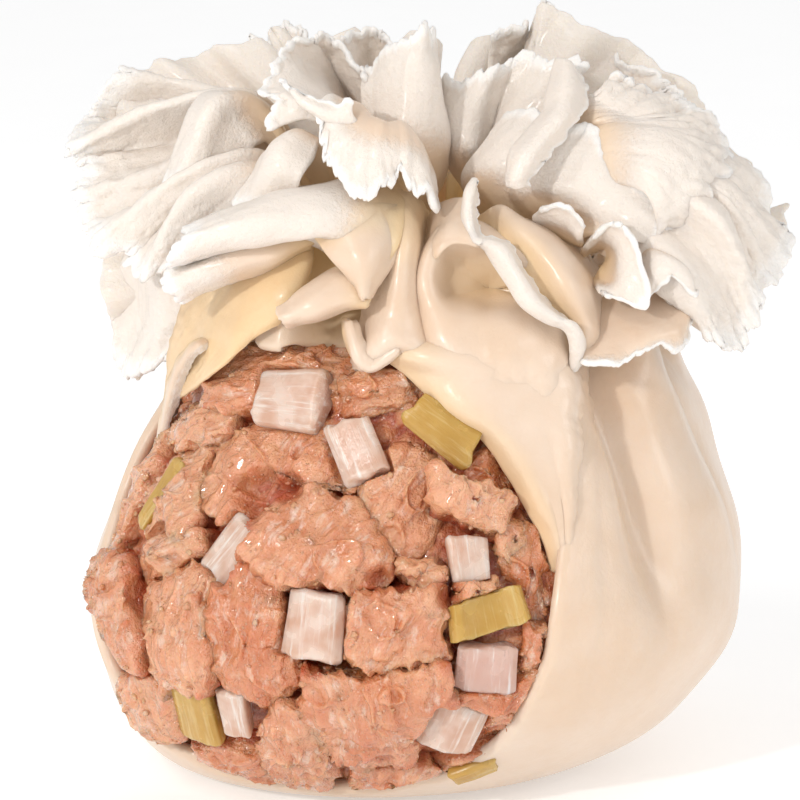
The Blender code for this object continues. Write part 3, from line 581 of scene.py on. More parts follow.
# The petals of each piece: crimps, the rim's raggedness, wall, where the flour starts and is full,
# and the rays side by side, each a few points in millimetres from the neck out to the rim.
PETALS = {"left_petals": [
    # left back
    (0.8, 1.0, 0.5, (0.1, 0.6),
     [[(-4.8, 2, 36.4), (-10.7, 8, 41.1), (-16.2, 12, 42.7), (-17.9, 13, 43.8)],
      [(-4.3, 3, 36.6), (-9.9, 9, 42.8), (-14.1, 13, 44.7), (-15.5, 14, 44.8)],
      [(-3.9, 3, 36.9), (-9, 9, 43.6), (-11.8, 13, 45.6), (-12.6, 14, 46.9)],
      [(-3.6, 3, 37.1), (-8, 8, 44.2), (-10.4, 12, 46.5), (-11.4, 13, 47.7)],
      [(-3.3, 3, 37.1), (-7.3, 6, 45), (-9.2, 11, 47), (-9.9, 12, 48.5)],
      [(-2.9, 3, 37.1), (-6.7, 6, 45), (-8.4, 10, 47.1), (-8.5, 11, 49.1)],
      [(-2.6, 2, 37.1), (-6, 4, 44.7), (-7.3, 8, 46.3), (-7.6, 9, 47.3)]]),
    # left fan
    (1.0, 1.0, 0.5, (0.1, 0.6),
     [[(-5.3, 0, 36.9), (-9.7, 3, 43.5), (-13.8, 8, 43.9), (-17.2, 10, 44.8)],
      [(-5.5, 0, 36.7), (-9.9, 2, 43.9), (-14.8, 5, 45.4), (-20.3, 6, 46.6)],
      [(-5.6, -1, 36.7), (-10.2, 3, 42.8), (-16.2, 7, 43.4), (-21.8, 5, 44.8)],
      [(-5.8, -1, 36.6), (-10.4, 2, 43.4), (-16.7, 6, 42.9), (-22.6, 4, 43.7)],
      [(-6, -2, 36.6), (-10.2, -3, 45.7), (-17.2, -2, 45.3), (-23.5, 1, 42)],
      [(-6.2, -2, 36.4), (-10.7, -1, 43.7), (-17, 1, 42.6), (-23, 1, 41)],
      [(-6.2, -2, 36.3), (-11.1, -1, 42.8), (-16.9, 0, 41.4), (-22.3, 0, 40.5)],
      [(-6.3, -3, 36.5), (-11.4, -4, 43.6), (-17.6, -3, 41), (-22.7, -1, 39.5)],
      [(-6.3, -3, 36.3), (-11.8, -3, 42), (-17.9, -3, 39.4), (-22.7, -1, 38)],
      [(-6.5, -3, 36.1), (-12.1, -3, 41), (-17.6, -3, 38.2), (-21.8, -2, 36.4)]]),
    # left fold
    (0.3, 0.5, 0.5, (0.1, 0.6),
     [[(-6.3, -3, 37.5), (-9.9, -2, 44.8), (-13.5, -3, 46.1), (-14.8, -4, 45.5), (-15.9, -5, 43.1),
       (-16.9, -5, 40.2)],
      [(-6.3, -4, 37.7), (-9.7, -5, 45.1), (-12.6, -6, 46.5), (-13.8, -7, 45.7),
       (-14.8, -7.5, 43.3), (-15.9, -7, 40.1)],
      [(-6.2, -4, 37.4), (-9.6, -5, 43.8), (-11.8, -6, 45.1), (-12.8, -6.5, 44.2),
       (-13.5, -7, 42.2), (-14.1, -6.5, 39.6)],
      [(-6.2, -4, 37.2), (-9.4, -5, 42.8), (-10.7, -6, 43.4), (-11.4, -6, 42.3), (-12.1, -6.5, 41),
       (-12.6, -6, 39.2)]]),
    # left lower fan
    (1.0, 1.0, 0.5, (0.1, 0.6),
     [[(-6, -3, 36.1), (-9.7, -4, 41.2), (-16.2, -4, 39.5), (-22.1, -3, 37.5)],
      [(-6, -4, 36.7), (-9.9, -7, 42.7), (-15.9, -7.5, 41.3), (-21.6, -5, 36.5)],
      [(-6, -5, 36.5), (-10.1, -7.5, 41.6), (-15.5, -7, 39.6), (-20.1, -5, 35.2)],
      [(-6, -5, 36.4), (-10.2, -7, 40.8), (-15.2, -6, 38.8), (-19.1, -5, 35.2)],
      [(-6, -6, 36.8), (-10.4, -9, 42.3), (-15.5, -10, 40.2), (-18.5, -8, 34.6)],
      [(-6, -7, 36.6), (-10.2, -10, 41.1), (-14.1, -10, 39), (-16.4, -8.5, 35.7)],
      [(-5.8, -7, 36.5), (-10.1, -9.5, 39.8), (-12.8, -9.5, 38.5), (-14.8, -9, 36.9)]]),
    # left lobe
    (0.3, 0.5, 0.5, (0.1, 0.6),
     [[(-5.6, -5, 37.9), (-8, -8, 43.1), (-9.7, -9, 43.3), (-10.7, -10, 42.1), (-12.1, -10.5, 40.1)],
      [(-5.5, -6, 38.1), (-7.3, -10, 44.2), (-8.7, -11.5, 44.4), (-9.7, -12.5, 42.7), (-10.7, -12, 40.1)],
      [(-5.1, -6, 38.1), (-6.3, -10.5, 44), (-7, -12, 43.2), (-7.7, -13, 42.1), (-8, -12, 40.3)]]),
    # left hanging flap
    (1.0, 1.0, 0.5, (0.1, 0.5),
     [[(-7.3, -2, 34.7), (-15.5, -1, 36), (-19.3, 1, 34.9), (-20.6, 3, 31), (-20.7, 4, 26.8)],
      [(-7.3, -3, 34.7), (-15.2, -3, 35.8), (-18.2, -1.5, 34.8), (-18.9, 1, 30.8), (-20.1, 2, 26.2)],
      [(-7.3, -3, 34.4), (-14.8, -4, 35.3), (-17, -4, 34.3), (-17.4, -3, 30.9), (-18.6, -1, 27.2)],
      [(-7.3, -4, 34.3), (-14.1, -5, 34.6), (-15.5, -5, 33.1), (-16, -4.5, 30.4), (-17.1, -3, 28)]]),
], "middle_petals": [
    # centre left bowl
    (0.7, 1.0, 0.5, (0.1, 0.6),
     [[(-3.1, -4, 37.7), (-4.3, -9, 44), (-7, -10, 45.6), (-9.6, -10, 44.9)],
      [(-3.1, -3, 37.5), (-4.6, -7, 44.3), (-7.7, -9.5, 46.5), (-9.9, -9.5, 46.7)],
      [(-2.9, -2, 37.3), (-4.8, -4, 44.7), (-8, -7, 47.4), (-10.2, -8.5, 47.4)],
      [(-2.9, -1, 37.1), (-5, -1, 44.9), (-7.7, -4, 48.1), (-9.2, -6, 49.2)],
      [(-2.8, 0, 36.9), (-4.8, 1, 45), (-6.8, -2, 48.8), (-7.7, -4, 50.1)],
      [(-2.6, 0, 36.9), (-4.5, 1, 45), (-6, -1, 48.4), (-6.7, -3, 50.4)],
      [(-2.2, 0, 36.9), (-3.9, 0, 44.7), (-4.8, -1, 47.7), (-5.5, -2, 49.5)],
      [(-1.9, -1, 37.1), (-2.9, -2, 44.2), (-3.6, -2, 46.5), (-3.9, -3, 48.1)],
      [(-1.4, -2, 37.3), (-2.2, -4, 43.6), (-2.9, -5, 45.9), (-3.3, -5, 47.5)]]),
    # centre left curl
    (0.4, 0.6, 0.5, (0.1, 0.6),
     [[(-3.9, -6, 40.2), (-5.6, -10, 44.9), (-8, -11.5, 47.5), (-9, -11, 48.2)],
      [(-3.6, -7, 40.3), (-5.1, -11, 44.8), (-7.2, -12.5, 46.8), (-8, -12, 47.6)],
      [(-3.1, -7, 40.1), (-4.3, -11.5, 44.5), (-5.8, -13, 46.2), (-6.3, -12.5, 47)],
      [(-2.6, -8, 40.1), (-3.3, -12, 44.3), (-4.3, -13, 46.1), (-4.3, -13, 46.9)]]),
    # centre small top
    (0.6, 1.0, 0.5, (0.1, 0.6),
     [[(-2.4, 1, 36.7), (-3.6, 4, 43), (-4.6, 4, 47.1), (-5.1, 3, 49)],
      [(-2.2, 2, 36.4), (-3.1, 6, 42.5), (-3.6, 6, 47.2), (-3.4, 5, 49.3)],
      [(-1.9, 2, 36.4), (-2.4, 6, 42.5), (-2.4, 6, 47.1), (-2.1, 5, 49)],
      [(-1.6, 1, 36.7), (-1.9, 3, 43.2), (-1.7, 3, 46.7), (-1.6, 2, 48.1)]]),
    # centre right face
    (0.5, 1.3, 0.5, (0.1, 0.6),
     [[(-1.7, -3, 37.5), (-2.9, -5, 42.8), (-3.6, -5, 46.3), (-3.4, -4, 48)],
      [(-1.4, -4, 37.7), (-2.1, -7, 43.2), (-2.4, -6.5, 46.9), (-2.2, -5, 49.4)],
      [(-1.1, -4, 37.7), (-1.2, -8, 43.4), (-1.2, -7.5, 47.5), (-1.1, -6, 50)],
      [(-0.5, -4, 37.7), (-0.2, -8, 43.4), (-0, -7.5, 47.8), (0.1, -6, 51.2)],
      [(-0, -3, 37.5), (0.8, -7, 43.2), (1, -6.5, 47.6), (0.6, -5, 50.1)],
      [(0.1, -2, 37.3), (1.8, -5, 42.5), (1.5, -4.5, 46.2), (1.2, -4, 50.1)],
      [(0.1, 0, 36.9), (1.7, -1, 40.9), (1.2, -1, 45.4), (0.8, -1, 48.7)]]),
    # middle drooping
    (0.6, 1.0, 0.5, (0.3, 0.9),
     [[(-2.9, -7, 40.8), (-4.3, -9, 45.4), (-5.6, -11, 47.2), (-6.8, -12.5, 46.5)],
      [(-2.6, -7, 40.4), (-3.8, -10, 45.9), (-5.5, -12, 46.7), (-6.3, -13, 45.1)],
      [(-2.4, -8, 40.3), (-3.3, -11, 45.8), (-4.8, -13, 45.5), (-5.8, -14, 43.3)],
      [(-2.2, -8, 40.1), (-2.9, -12, 45.7), (-3.9, -14, 44.7), (-4.6, -15, 42)],
      [(-2.1, -8, 40), (-2.4, -12.5, 45.6), (-3.1, -14.5, 44.5), (-3.4, -15.5, 41.5)],
      [(-1.9, -8, 40), (-2.1, -12.5, 45.4), (-2.4, -14.5, 44.5), (-2.1, -15, 42)],
      [(-1.6, -8, 40), (-1.6, -12, 45.3), (-1.4, -14, 44.2), (-1.6, -14, 42.3)],
      [(-1.1, -7, 39.8), (-1.1, -11.5, 45.2), (-0.5, -13.5, 43.9), (-0.5, -14, 41.8)],
      [(-0.5, -6, 39.4), (-0.4, -10.5, 44.3), (0.3, -12.5, 43), (0.7, -13.5, 40)],
      [(-0.2, -5, 38.8), (0.1, -8, 43.1), (0.8, -9.5, 41.7), (1.2, -10, 39.7)]]),
    # tongue
    (0.35, 0.9, 0.5, (0.0, 0.5),
     [[(-1.6, -8, 41), (-5.3, -10, 41.3), (-10.4, -12.5, 40.6), (-14.9, -14, 39.2)],
      [(-1.1, -11, 40.6), (-5.1, -13.5, 41.5), (-10.4, -16, 41), (-14.8, -16, 39.2)],
      [(-1.1, -13, 39.6), (-5.1, -15.5, 40.5), (-10.7, -17.5, 40.1), (-15.3, -17, 38.6)],
      [(-1.4, -14.5, 38.2), (-5.5, -16, 39.2), (-10.7, -17, 38.6), (-15.9, -16, 37.1)],
      [(-2.4, -15.5, 36.7), (-6.3, -15, 38.8), (-10.7, -14.5, 38), (-15.2, -13.5, 36.8)],
      [(-3.5, -16, 35.1), (-6.7, -12, 37.7), (-10.7, -12, 37.5), (-14.1, -12, 37.2)]]),
    # funnel
    (0, 0.1, 0.5, (2, 3),
     [[(-6.7, -14.5, 38.8), (-5.8, -15.3, 37.7), (-4.8, -16, 36.6), (-3.6, -16.5, 34.9)],
      [(-4.8, -14.5, 40.3), (-4.3, -16, 38.7), (-3.8, -16.8, 37.1), (-3.5, -17, 35)],
      [(-3.1, -14, 40.5), (-2.8, -15.5, 38.8), (-2.8, -16.3, 37.2), (-3.3, -16.8, 35)],
      [(-1.6, -12.5, 40.2), (-1.3, -13.8, 38.4), (-1.9, -14.8, 36.7), (-3.2, -16, 34.9)]]),
    # second tongue
    (0.3, 0.7, 0.5, (0.25, 0.9),
     [[(-5.3, -10, 38.5), (-9.4, -12.5, 38.5), (-12.8, -13.5, 37.3), (-16.2, -13.5, 36.4)],
      [(-6, -12, 38.4), (-9.6, -14.5, 38), (-13.3, -15, 36.9), (-16.5, -14.5, 35.4)],
      [(-7, -13, 37.9), (-9.7, -14.5, 37), (-12.8, -14.5, 35.8), (-15.9, -13.5, 34.1)],
      [(-7.2, -9, 36.4), (-9.7, -10, 35.4), (-12.4, -10.5, 34.8), (-14.8, -11, 34)]]),
    # low fold
    (0, 0.1, 0.5, (2, 3),
     [[(-3.3, -12, 36.3), (-5.1, -14, 36.4), (-7.2, -15.2, 35.4), (-9, -15.5, 34)],
      [(-2.9, -14, 35.7), (-4.8, -16, 35.9), (-6.8, -17, 34.9), (-8.9, -16.8, 33.7)],
      [(-3.3, -16.2, 34.6), (-4.8, -17, 34.8), (-6.7, -17, 33.9), (-8.5, -16.5, 33.3)],
      [(-3.4, -15, 34.1), (-4.8, -15, 34), (-6.7, -15, 33.3), (-8.4, -15, 32.9)]]),
], "right_petals": [
    # roll
    (0, 0, 0.7, (2, 3),
     [[(4.8, -10.6, 34.4), (8.3, -12, 34.4), (9.1, -13.2, 34.3), (10, -12.5, 33.8),
       (10.5, -10, 32.8), (10.7, -8, 31.6)],
      [(4.7, -10.6, 34.4), (7.6, -12, 33.7), (8.3, -13.6, 33), (8.6, -14.8, 31.7),
       (9, -15.4, 30.1), (9.1, -14.9, 27.5)],
      [(4.6, -10.6, 34.3), (6.1, -12.2, 33.9), (6.1, -14.2, 33.5), (6.3, -15.5, 32.4),
       (6.5, -16.3, 30.6), (6.7, -16, 27.8)],
      [(4.5, -10.6, 34.3), (4.4, -12.2, 33.8), (4, -14.8, 33.3), (4, -15.8, 32.2),
       (4.2, -16.6, 30.7), (4.2, -16.5, 27.9)],
      [(4.4, -10.6, 34.4), (2.4, -12.2, 34.1), (1.7, -14.6, 33.9), (1.5, -15.7, 32.4),
       (1.8, -16.4, 30.6), (2.2, -16.3, 27.8)],
      [(4.3, -10.6, 34.5), (1.8, -12.2, 35.1), (0.6, -14.2, 35.4), (0.1, -14, 34.1),
       (0.5, -14.8, 31.3), (1, -15.2, 28.6)],
      [(4.3, -10.6, 34.6), (1.8, -11.9, 36.2), (0.8, -13.6, 37), (0, -12.4, 36), (-0.2, -11, 33.1),
       (0.1, -10, 30.3)],
      [(4.4, -10.6, 34.6), (2.4, -11.7, 36.8), (1.7, -13, 38.1), (1.2, -11.4, 38.3),
       (0.3, -8, 35.1), (0.1, -6, 32.1)],
      [(4.6, -10.6, 34.7), (3.5, -11.7, 36.9), (2.9, -13, 38.3), (2.7, -10.6, 38.8),
       (1.8, -6, 36.8), (1.5, -5, 34.5)],
      [(4.7, -10.6, 34.6), (5.6, -11.7, 36.9), (4.2, -13, 38), (4.4, -10.3, 38.4), (3.9, -6, 37.6),
       (3.5, -5, 36.2)],
      [(4.8, -10.6, 34.5), (7.3, -11.8, 35.6), (7.6, -13, 36.3), (8.3, -11.5, 36.2), (9, -8, 35.5),
       (9, -6, 34.7)]]),
    # white lip
    (0.35, 0.9, 0.45, (-1, -0.5),
     [[(3.6, -11.7, 41.8), (3.7, -12, 41.8), (3.7, -11.7, 41.7)],
      [(3.1, -12.3, 41), (3.3, -12.8, 41.1), (3.7, -12, 40.8)],
      [(2.9, -12.7, 39.7), (3.2, -13.4, 39.9), (3.7, -12.5, 39.7)],
      [(3.3, -13.3, 38.3), (3.6, -14.2, 38.4), (4, -13.1, 38.6)],
      [(4.3, -14.1, 37.7), (4.7, -15, 38.2), (5.2, -13.4, 38.3)],
      [(5, -14.7, 36.7), (5.5, -15.5, 37.6), (6, -13.8, 37.6)],
      [(5.8, -15.4, 35.6), (6.3, -16, 36.5), (6.8, -14.1, 36.4)],
      [(6.7, -15.8, 34.4), (7.4, -16.4, 34.8), (8, -14.3, 34.7)],
      [(8.2, -15.7, 33.3), (8.8, -16.3, 33.7), (9.3, -14.3, 33.4)],
      [(9.5, -15.5, 32.6), (10, -16, 33), (10.5, -13.9, 32.2)],
      [(9.9, -14.7, 31), (10.3, -15.2, 31.4), (10.8, -13.3, 31)],
      [(9.8, -13.8, 29.7), (10, -14.2, 29.8), (10.4, -12.8, 29.9)]]),
    # bulge
    (0.1, 0.2, 0.5, (1.0, 2.2),
     [[(3.9, -8, 38.6), (5.2, -9.5, 39.6), (6.6, -9, 38.8), (7.6, -5, 37.9)],
      [(5.2, -11, 38), (6.6, -12, 38.7), (8.3, -11, 38.2), (9.8, -5, 36.9)],
      [(6.3, -12.5, 37.4), (8, -13.2, 37.8), (10, -11.5, 36.5), (11.4, -6, 35.5)],
      [(6.9, -13, 36.2), (9, -14.2, 36.4), (11, -12.5, 34.7), (12.4, -7, 33.5)],
      [(8.3, -13.4, 34.2), (10, -14.6, 34.4), (11.4, -13, 32.9), (12.6, -8, 31.3)],
      [(9.7, -13.4, 32.3), (10.7, -14.4, 32.5), (11.4, -13.4, 31.6), (12.2, -10, 30)],
      [(10.2, -13.6, 30.2), (10.5, -13.8, 30.3), (10.9, -13, 30.3), (11.4, -11, 29.8)]]),
    # roll top
    (0, 0.1, 0.5, (2, 3),
     [[(0.8, -6, 38.1), (1.3, -8.5, 39.4), (2.5, -10, 40.2), (3.2, -11, 40.4)],
      [(0.3, -7, 36.6), (1, -10.5, 38.6), (2.2, -12, 39.4), (3, -12.5, 39.5)],
      [(0.1, -9, 35.7), (0.8, -12.5, 37.6), (2, -13.5, 38.7), (3.4, -13.8, 38.6)],
      [(0.3, -11, 35.2), (1.2, -13.8, 37.2), (2.2, -14, 38.1), (3.9, -14, 37.9)]]),
    # right low sheet
    (0.3, 0.6, 0.5, (0.5, 1.2),
     [[(9.3, -6, 34.7), (10.5, -10, 32.9), (10.7, -14, 31.2), (10.5, -15, 30.4)],
      [(10.7, -6, 34.7), (12.2, -11, 33.1), (12.9, -14, 31.2), (12.8, -15, 30.5)],
      [(12, -6, 35), (14.1, -10.5, 33.4), (15.1, -13.5, 32.1), (14.9, -14, 31.1)],
      [(13.1, -6, 35.4), (15.4, -10, 33.8), (16.8, -12.5, 32.4), (17.2, -12.5, 31)],
      [(14.1, -5, 35.5), (16.1, -8, 34.4), (17.5, -10, 33.4), (17.7, -10, 32.6)]]),
    # front right fan
    (1.0, 1.0, 0.5, (0.1, 0.6),
     [[(9.7, -4, 36.7), (12.4, -9, 36.4), (15.4, -11, 34.4), (17.7, -10, 32.7)],
      [(9.7, -4, 37), (12.7, -9.5, 37.5), (16.1, -12, 34.6), (18.9, -10, 31.4)],
      [(9.7, -4, 37.2), (13.1, -9, 38.4), (17.1, -12.5, 36.4), (20, -10, 30.5)],
      [(9.7, -3, 37.2), (13.4, -8, 39.3), (18, -10.5, 36.7), (21.2, -8, 29.9)],
      [(9.7, -3, 37.3), (13.7, -7.5, 39.9), (18.7, -10, 37.6), (22, -8, 31.2)],
      [(9.7, -3, 37.5), (13.9, -8, 40.7), (19.2, -11, 39.2), (22.8, -7.5, 32.3)],
      [(9.7, -2, 37.5), (14.1, -7.5, 41.2), (19.5, -9, 39.7), (22.2, -6, 32.9)],
      [(9.7, -2, 37.6), (14.1, -7, 41.8), (19.9, -9, 40.2), (23.5, -6, 34)],
      [(9.7, -2, 37.8), (14.1, -6.5, 42.2), (20, -8.5, 40.8), (24.3, -4, 34.8)],
      [(9.7, -1, 37.8), (14.1, -6, 42.7), (20.2, -7.5, 41.2), (25.3, -2, 36.3)],
      [(9.7, -1, 38), (14.1, -5, 42.8), (19.9, -7, 41.8), (23.4, -3, 37.8)],
      [(9.7, 0, 37.9), (13.7, -4.5, 43), (19.5, -6.5, 42.4), (23.4, -2, 40)],
      [(9.7, 0, 38.1), (13.4, -4, 43.3), (18.5, -6, 43.2), (20.9, -2, 41.4)]]),
    # right middle fan
    (1.3, 1.0, 0.5, (0.1, 0.6),
     [[(8.3, -5, 38.6), (11.7, -9, 41.2), (14.6, -11.5, 41.1), (15.6, -11.5, 38.8), (15.2, -11, 37.3)],
      [(8.3, -5, 38.8), (11.7, -9, 42.3), (14.9, -11.5, 42.4), (17.1, -11, 40.6), (18.7, -9, 38.8)],
      [(8.3, -4, 38.8), (11.7, -8.5, 43.2), (15.1, -10.5, 43.6), (17.8, -10, 42.1), (19.7, -8, 40.3)],
      [(8.3, -4, 38.9), (11.7, -8, 44.1), (15.4, -9, 44.7), (18.3, -8.5, 43.9), (20.7, -5, 42.1)],
      [(8.3, -3, 38.9), (11.4, -7, 44.3), (14.8, -8, 44.8), (17.5, -7, 44.6), (19.7, -4, 44)],
      [(8.3, -3, 39.1), (11, -7, 44.6), (14.1, -7.5, 45.1), (16.1, -7, 45.3), (18, -4, 45.2)],
      [(8.3, -3, 39.2), (10.7, -6.5, 44.9), (13.4, -7, 45.3), (15.1, -6, 46), (16.5, -4, 46.2)],
      [(8.3, -2, 39.2), (10.3, -6, 45.1), (12.4, -6.5, 45.9), (13.4, -5.5, 46.7), (14.6, -4, 46.9)],
      [(8.3, -2, 39.4), (10, -5.5, 45.3), (11.7, -6, 46.5), (12.4, -5, 47), (12.9, -4, 47.8)]]),
    # right back fan
    (1.2, 1.0, 0.5, (0.1, 0.6),
     [[(6.3, 0, 37.7), (5.2, 4, 43.3), (4.9, 5, 46.9), (5.2, 4, 49.4)],
      [(6.4, 1, 37.5), (5.9, 6, 43.6), (6.1, 7, 47), (6.9, 5, 49.6)],
      [(6.6, 1, 37.5), (6.6, 6, 44.3), (7.1, 8, 47), (7.8, 7, 49.1)],
      [(6.8, 2, 37.3), (7.3, 8, 44.2), (8, 10, 47.6), (8.6, 8, 50.5)],
      [(6.9, 2, 37.3), (8, 8, 44.2), (9, 10, 47.4), (9.7, 8, 49.5)],
      [(7.1, 2, 37.3), (8.8, 7, 44.1), (10.3, 9, 46.8), (11.3, 8, 48.7)],
      [(7.3, 2, 37.3), (9.5, 6, 43.9), (11.5, 8, 46.1), (12.3, 7, 48)],
      [(7.4, 2, 37.3), (10.2, 6, 43.6), (12.4, 7, 45.5), (13.1, 6, 47.8)],
      [(7.6, 2, 37.3), (11, 5, 43.3), (13.6, 6, 44.8), (14.5, 5, 46.9)],
      [(7.8, 2, 37.3), (11.9, 4, 43), (14.4, 5, 44.5), (16.6, 4, 46.1)],
      [(8, 2, 37.3), (12.4, 3, 42.7), (15.8, 4, 43.8), (17.6, 3, 45.4)],
      [(8.1, 1, 37.5), (12.9, 2, 42.4), (16.6, 3, 42.8), (19.1, 2, 44)],
      [(8.3, 1, 37.5), (13.2, 1, 41.9), (17.5, 2, 42), (21, 1, 41.7)]]),
    # right inner petal
    (0.5, 1.0, 0.5, (0.1, 0.6),
     [[(3.9, -1, 38), (2, -2, 41.8), (1.3, -1, 44.6), (1.3, 0, 46.4)],
      [(4, -2, 38.2), (2.5, -4, 42.2), (2, -3.5, 44.9), (2.3, -2.5, 47.2)],
      [(4.2, -2, 38.2), (3, -4.5, 42.3), (2.9, -4, 45), (3.7, -3, 47.5)],
      [(4.4, -2, 38.2), (3.7, -4.5, 42), (4, -4, 44.3), (5.1, -3, 47.8)],
      [(4.6, -1, 38), (4.4, -2.5, 41.9), (5.1, -2, 44.9), (6.4, -1.5, 48.7)],
      [(4.9, -1, 38), (5.6, -3.5, 42.5), (6.4, -3, 45.5), (8.3, -2, 49)],
      [(5.2, -1, 38), (6.4, -3.5, 42.5), (7.8, -3.5, 45.6), (9.8, -3, 48.6)],
      [(5.6, -2, 38.2), (7.3, -4, 42.2), (9, -4, 45.4), (11.2, -3.5, 48.2)]]),
    # right second petal
    (0.2, 0.3, 0.5, (0.1, 0.6),
     [[(4.4, -4, 38.2), (3, -5.5, 40.5), (3.9, -6, 42.7), (5.9, -5, 45.2)],
      [(4.6, -4.5, 38.4), (3.7, -7, 41.1), (5.2, -7.5, 43.5), (7.3, -7, 45.7)],
      [(4.9, -5, 38.5), (4.6, -8, 41.4), (6.6, -8.5, 43.2), (8.3, -8, 45.2)],
      [(5.6, -5, 38.3), (6.3, -8, 40.3), (8.3, -9, 42.3), (10.3, -8, 44.8)],
      [(6.3, -5, 38.1), (7.6, -8.5, 40.4), (9.7, -9.5, 41.7), (11.4, -8, 44.8)],
      [(7.3, -5, 37.9), (9, -9, 40.2), (11, -10, 41.4), (12.2, -9, 43.3)],
      [(8.3, -6, 38), (10.3, -9.5, 39.6), (12.4, -10.5, 40.3), (13.6, -10, 41.7)],
      [(9, -7, 37.7), (11.4, -10, 38.7), (13.7, -11.5, 39.3), (15.7, -11, 39.7)],
      [(9.3, -8, 37.2), (11.7, -10.5, 38.1), (13.7, -11.5, 37.9), (15.2, -11, 37.5)]]),
], "front_folds": [
    # thick lip
    (0.4, 1.0, 0.55, (-1, -0.5),
     [[(9.2, -5.4, 48.7), (9.8, -6.5, 48.7), (10.7, -5.4, 47.5)],
      [(8.6, -6.6, 47.3), (9.7, -8.5, 47.4), (11, -6.6, 46.6)],
      [(8.3, -8.1, 45.8), (9.2, -10, 45.9), (10.4, -8.5, 45.5)],
      [(7.2, -9.6, 44.7), (8.1, -11.3, 44.7), (9.1, -9.9, 44.2)],
      [(6.1, -10.6, 43.4), (6.9, -12.2, 43.3), (8.3, -10.6, 43.3)],
      [(5.8, -11.3, 42.3), (6.4, -12.4, 42.3), (7.6, -11.3, 42.6)],
      [(5.8, -11.6, 41.5), (6.3, -12, 41.5), (6.8, -11.6, 41.5)]]),
    # small flap one
    (0.1, 0.4, 0.5, (0.1, 0.6),
     [[(8.3, -7, 37.3), (7.6, -9, 38.8), (8, -11, 39.8)],
      [(9, -8, 37.5), (8.6, -10.5, 39.3), (9, -12, 40.3)],
      [(9.8, -8.5, 37.3), (9.7, -11, 38.9), (9.8, -12, 39.9)],
      [(10.7, -9, 37.1), (10.5, -11, 38), (10.7, -11.5, 38.8)]]),
    # small flap two
    (0.1, 0.4, 0.5, (0.1, 0.6),
     [[(10.7, -8, 36.1), (11, -10, 37.3), (11.4, -11.5, 38)],
      [(11.4, -8, 36.5), (11.9, -11, 38.2), (12.3, -12.5, 39)],
      [(12.2, -8, 36.5), (12.7, -11.5, 37.9), (13.4, -13, 38.8)],
      [(12.4, -9, 36), (13.2, -12.5, 37.1), (14.3, -14, 37)],
      [(12, -10, 35.5), (13.2, -13.5, 35.4), (14.6, -14.5, 34.2)],
      [(11.7, -10, 35), (12.6, -13, 34.9), (13.2, -14, 34.3)],
      [(11.4, -10, 34.8), (11.7, -12.5, 34.8), (11.9, -13.5, 34.5)]]),
    # small flap three
    (0.1, 0.4, 0.5, (0.1, 0.6),
     [[(14.1, -8, 35.8), (14.4, -11, 36.6), (14.5, -13, 34.4), (14.9, -13, 34.4)],
      [(14.4, -8, 36.1), (15.1, -12, 37.2), (15.4, -13.5, 36.3), (15.8, -13.5, 35.6)],
      [(15.1, -8, 36.1), (16.1, -12.5, 36.9), (16.6, -13.5, 36.1), (16.4, -13.5, 35.9)],
      [(15.8, -8, 35.8), (17, -12, 36.1), (17.5, -13, 35.5), (17.7, -13, 34.6)],
      [(16.1, -8, 35.1), (17.3, -11, 35.2), (17.8, -12, 34.7), (18, -12.5, 34.6)]]),
    # fold in golden painted shade
    (0.0, 0, 0.6, (2.6, 3.6),
     [[(-7.6, -8.5, 36.9), (-7.3, -11, 37.7), (-9.7, -11.5, 36.5), (-12.4, -9.5, 34.7),
       (-15.5, -5, 32.3)],
      [(-7.6, -10, 35.9), (-7.3, -12.6, 36.5), (-9.7, -13, 35.3), (-12.6, -10.6, 33.5), (-16, -5, 31)],
      [(-8.1, -11, 34.4), (-7.8, -13.6, 34.9), (-9.9, -13.6, 33.9), (-12.8, -11.2, 32.1),
       (-16.4, -4.8, 29.4)],
      [(-9, -11.6, 33.1), (-8.8, -13.8, 33.5), (-10.4, -13.4, 32.5), (-12.6, -11.8, 30.8),
       (-16.6, -4.6, 27.6)],
      [(-9.4, -11.6, 32.4), (-9.3, -13.4, 32.7), (-10.9, -13, 31.7), (-13.3, -11.2, 29.1),
       (-16.8, -4.4, 25.3)]]),
    # pocket wall
    (0, 0, 0.6, (3, 4),
     [[(-9, -10, 38.5), (-8.7, -10.5, 36.3), (-9, -12, 33.9)],
      [(-7.3, -9.5, 38.4), (-7.3, -10.2, 36.3), (-7.3, -12, 33.9)],
      [(-5.6, -9.5, 38.2), (-5.6, -10.2, 36.3), (-5.6, -12, 33.9)],
      [(-3.9, -10, 38), (-3.9, -11, 36.1), (-3.9, -12.5, 33.6)]]),
    # column
    (0, 0, 0.8, (2, 3),
     [[(-3.1, -7, 40.1), (-2.8, -10, 37.3), (-3.1, -11.5, 35), (-3.5, -12.5, 32.6),
       (-4.3, -13, 30.4), (-4.5, -12, 29.5)],
      [(-2.2, -9.5, 40.6), (-1.8, -12.9, 37.9), (-2.2, -14, 35.5), (-2.6, -14.8, 33.2),
       (-3.1, -15.6, 31.3), (-3.2, -15, 30.2)],
      [(-1.2, -11, 40.8), (-1, -14, 38.1), (-1.1, -14.8, 35.7), (-1.2, -15.4, 33.4),
       (-1.5, -16.2, 32), (-1.6, -15.6, 31.3)],
      [(-0.4, -10.5, 40.3), (-0.3, -12.6, 37.8), (-0.3, -13, 35.3), (-0, -14.4, 33),
       (0.3, -15.8, 31.4), (0.3, -15.2, 30.6)],
      [(0.1, -8, 39.4), (0.1, -9, 37.1), (0.1, -9.6, 34.6), (0.6, -12.4, 32.2), (1.7, -15, 30),
       (1.8, -14.4, 29)],
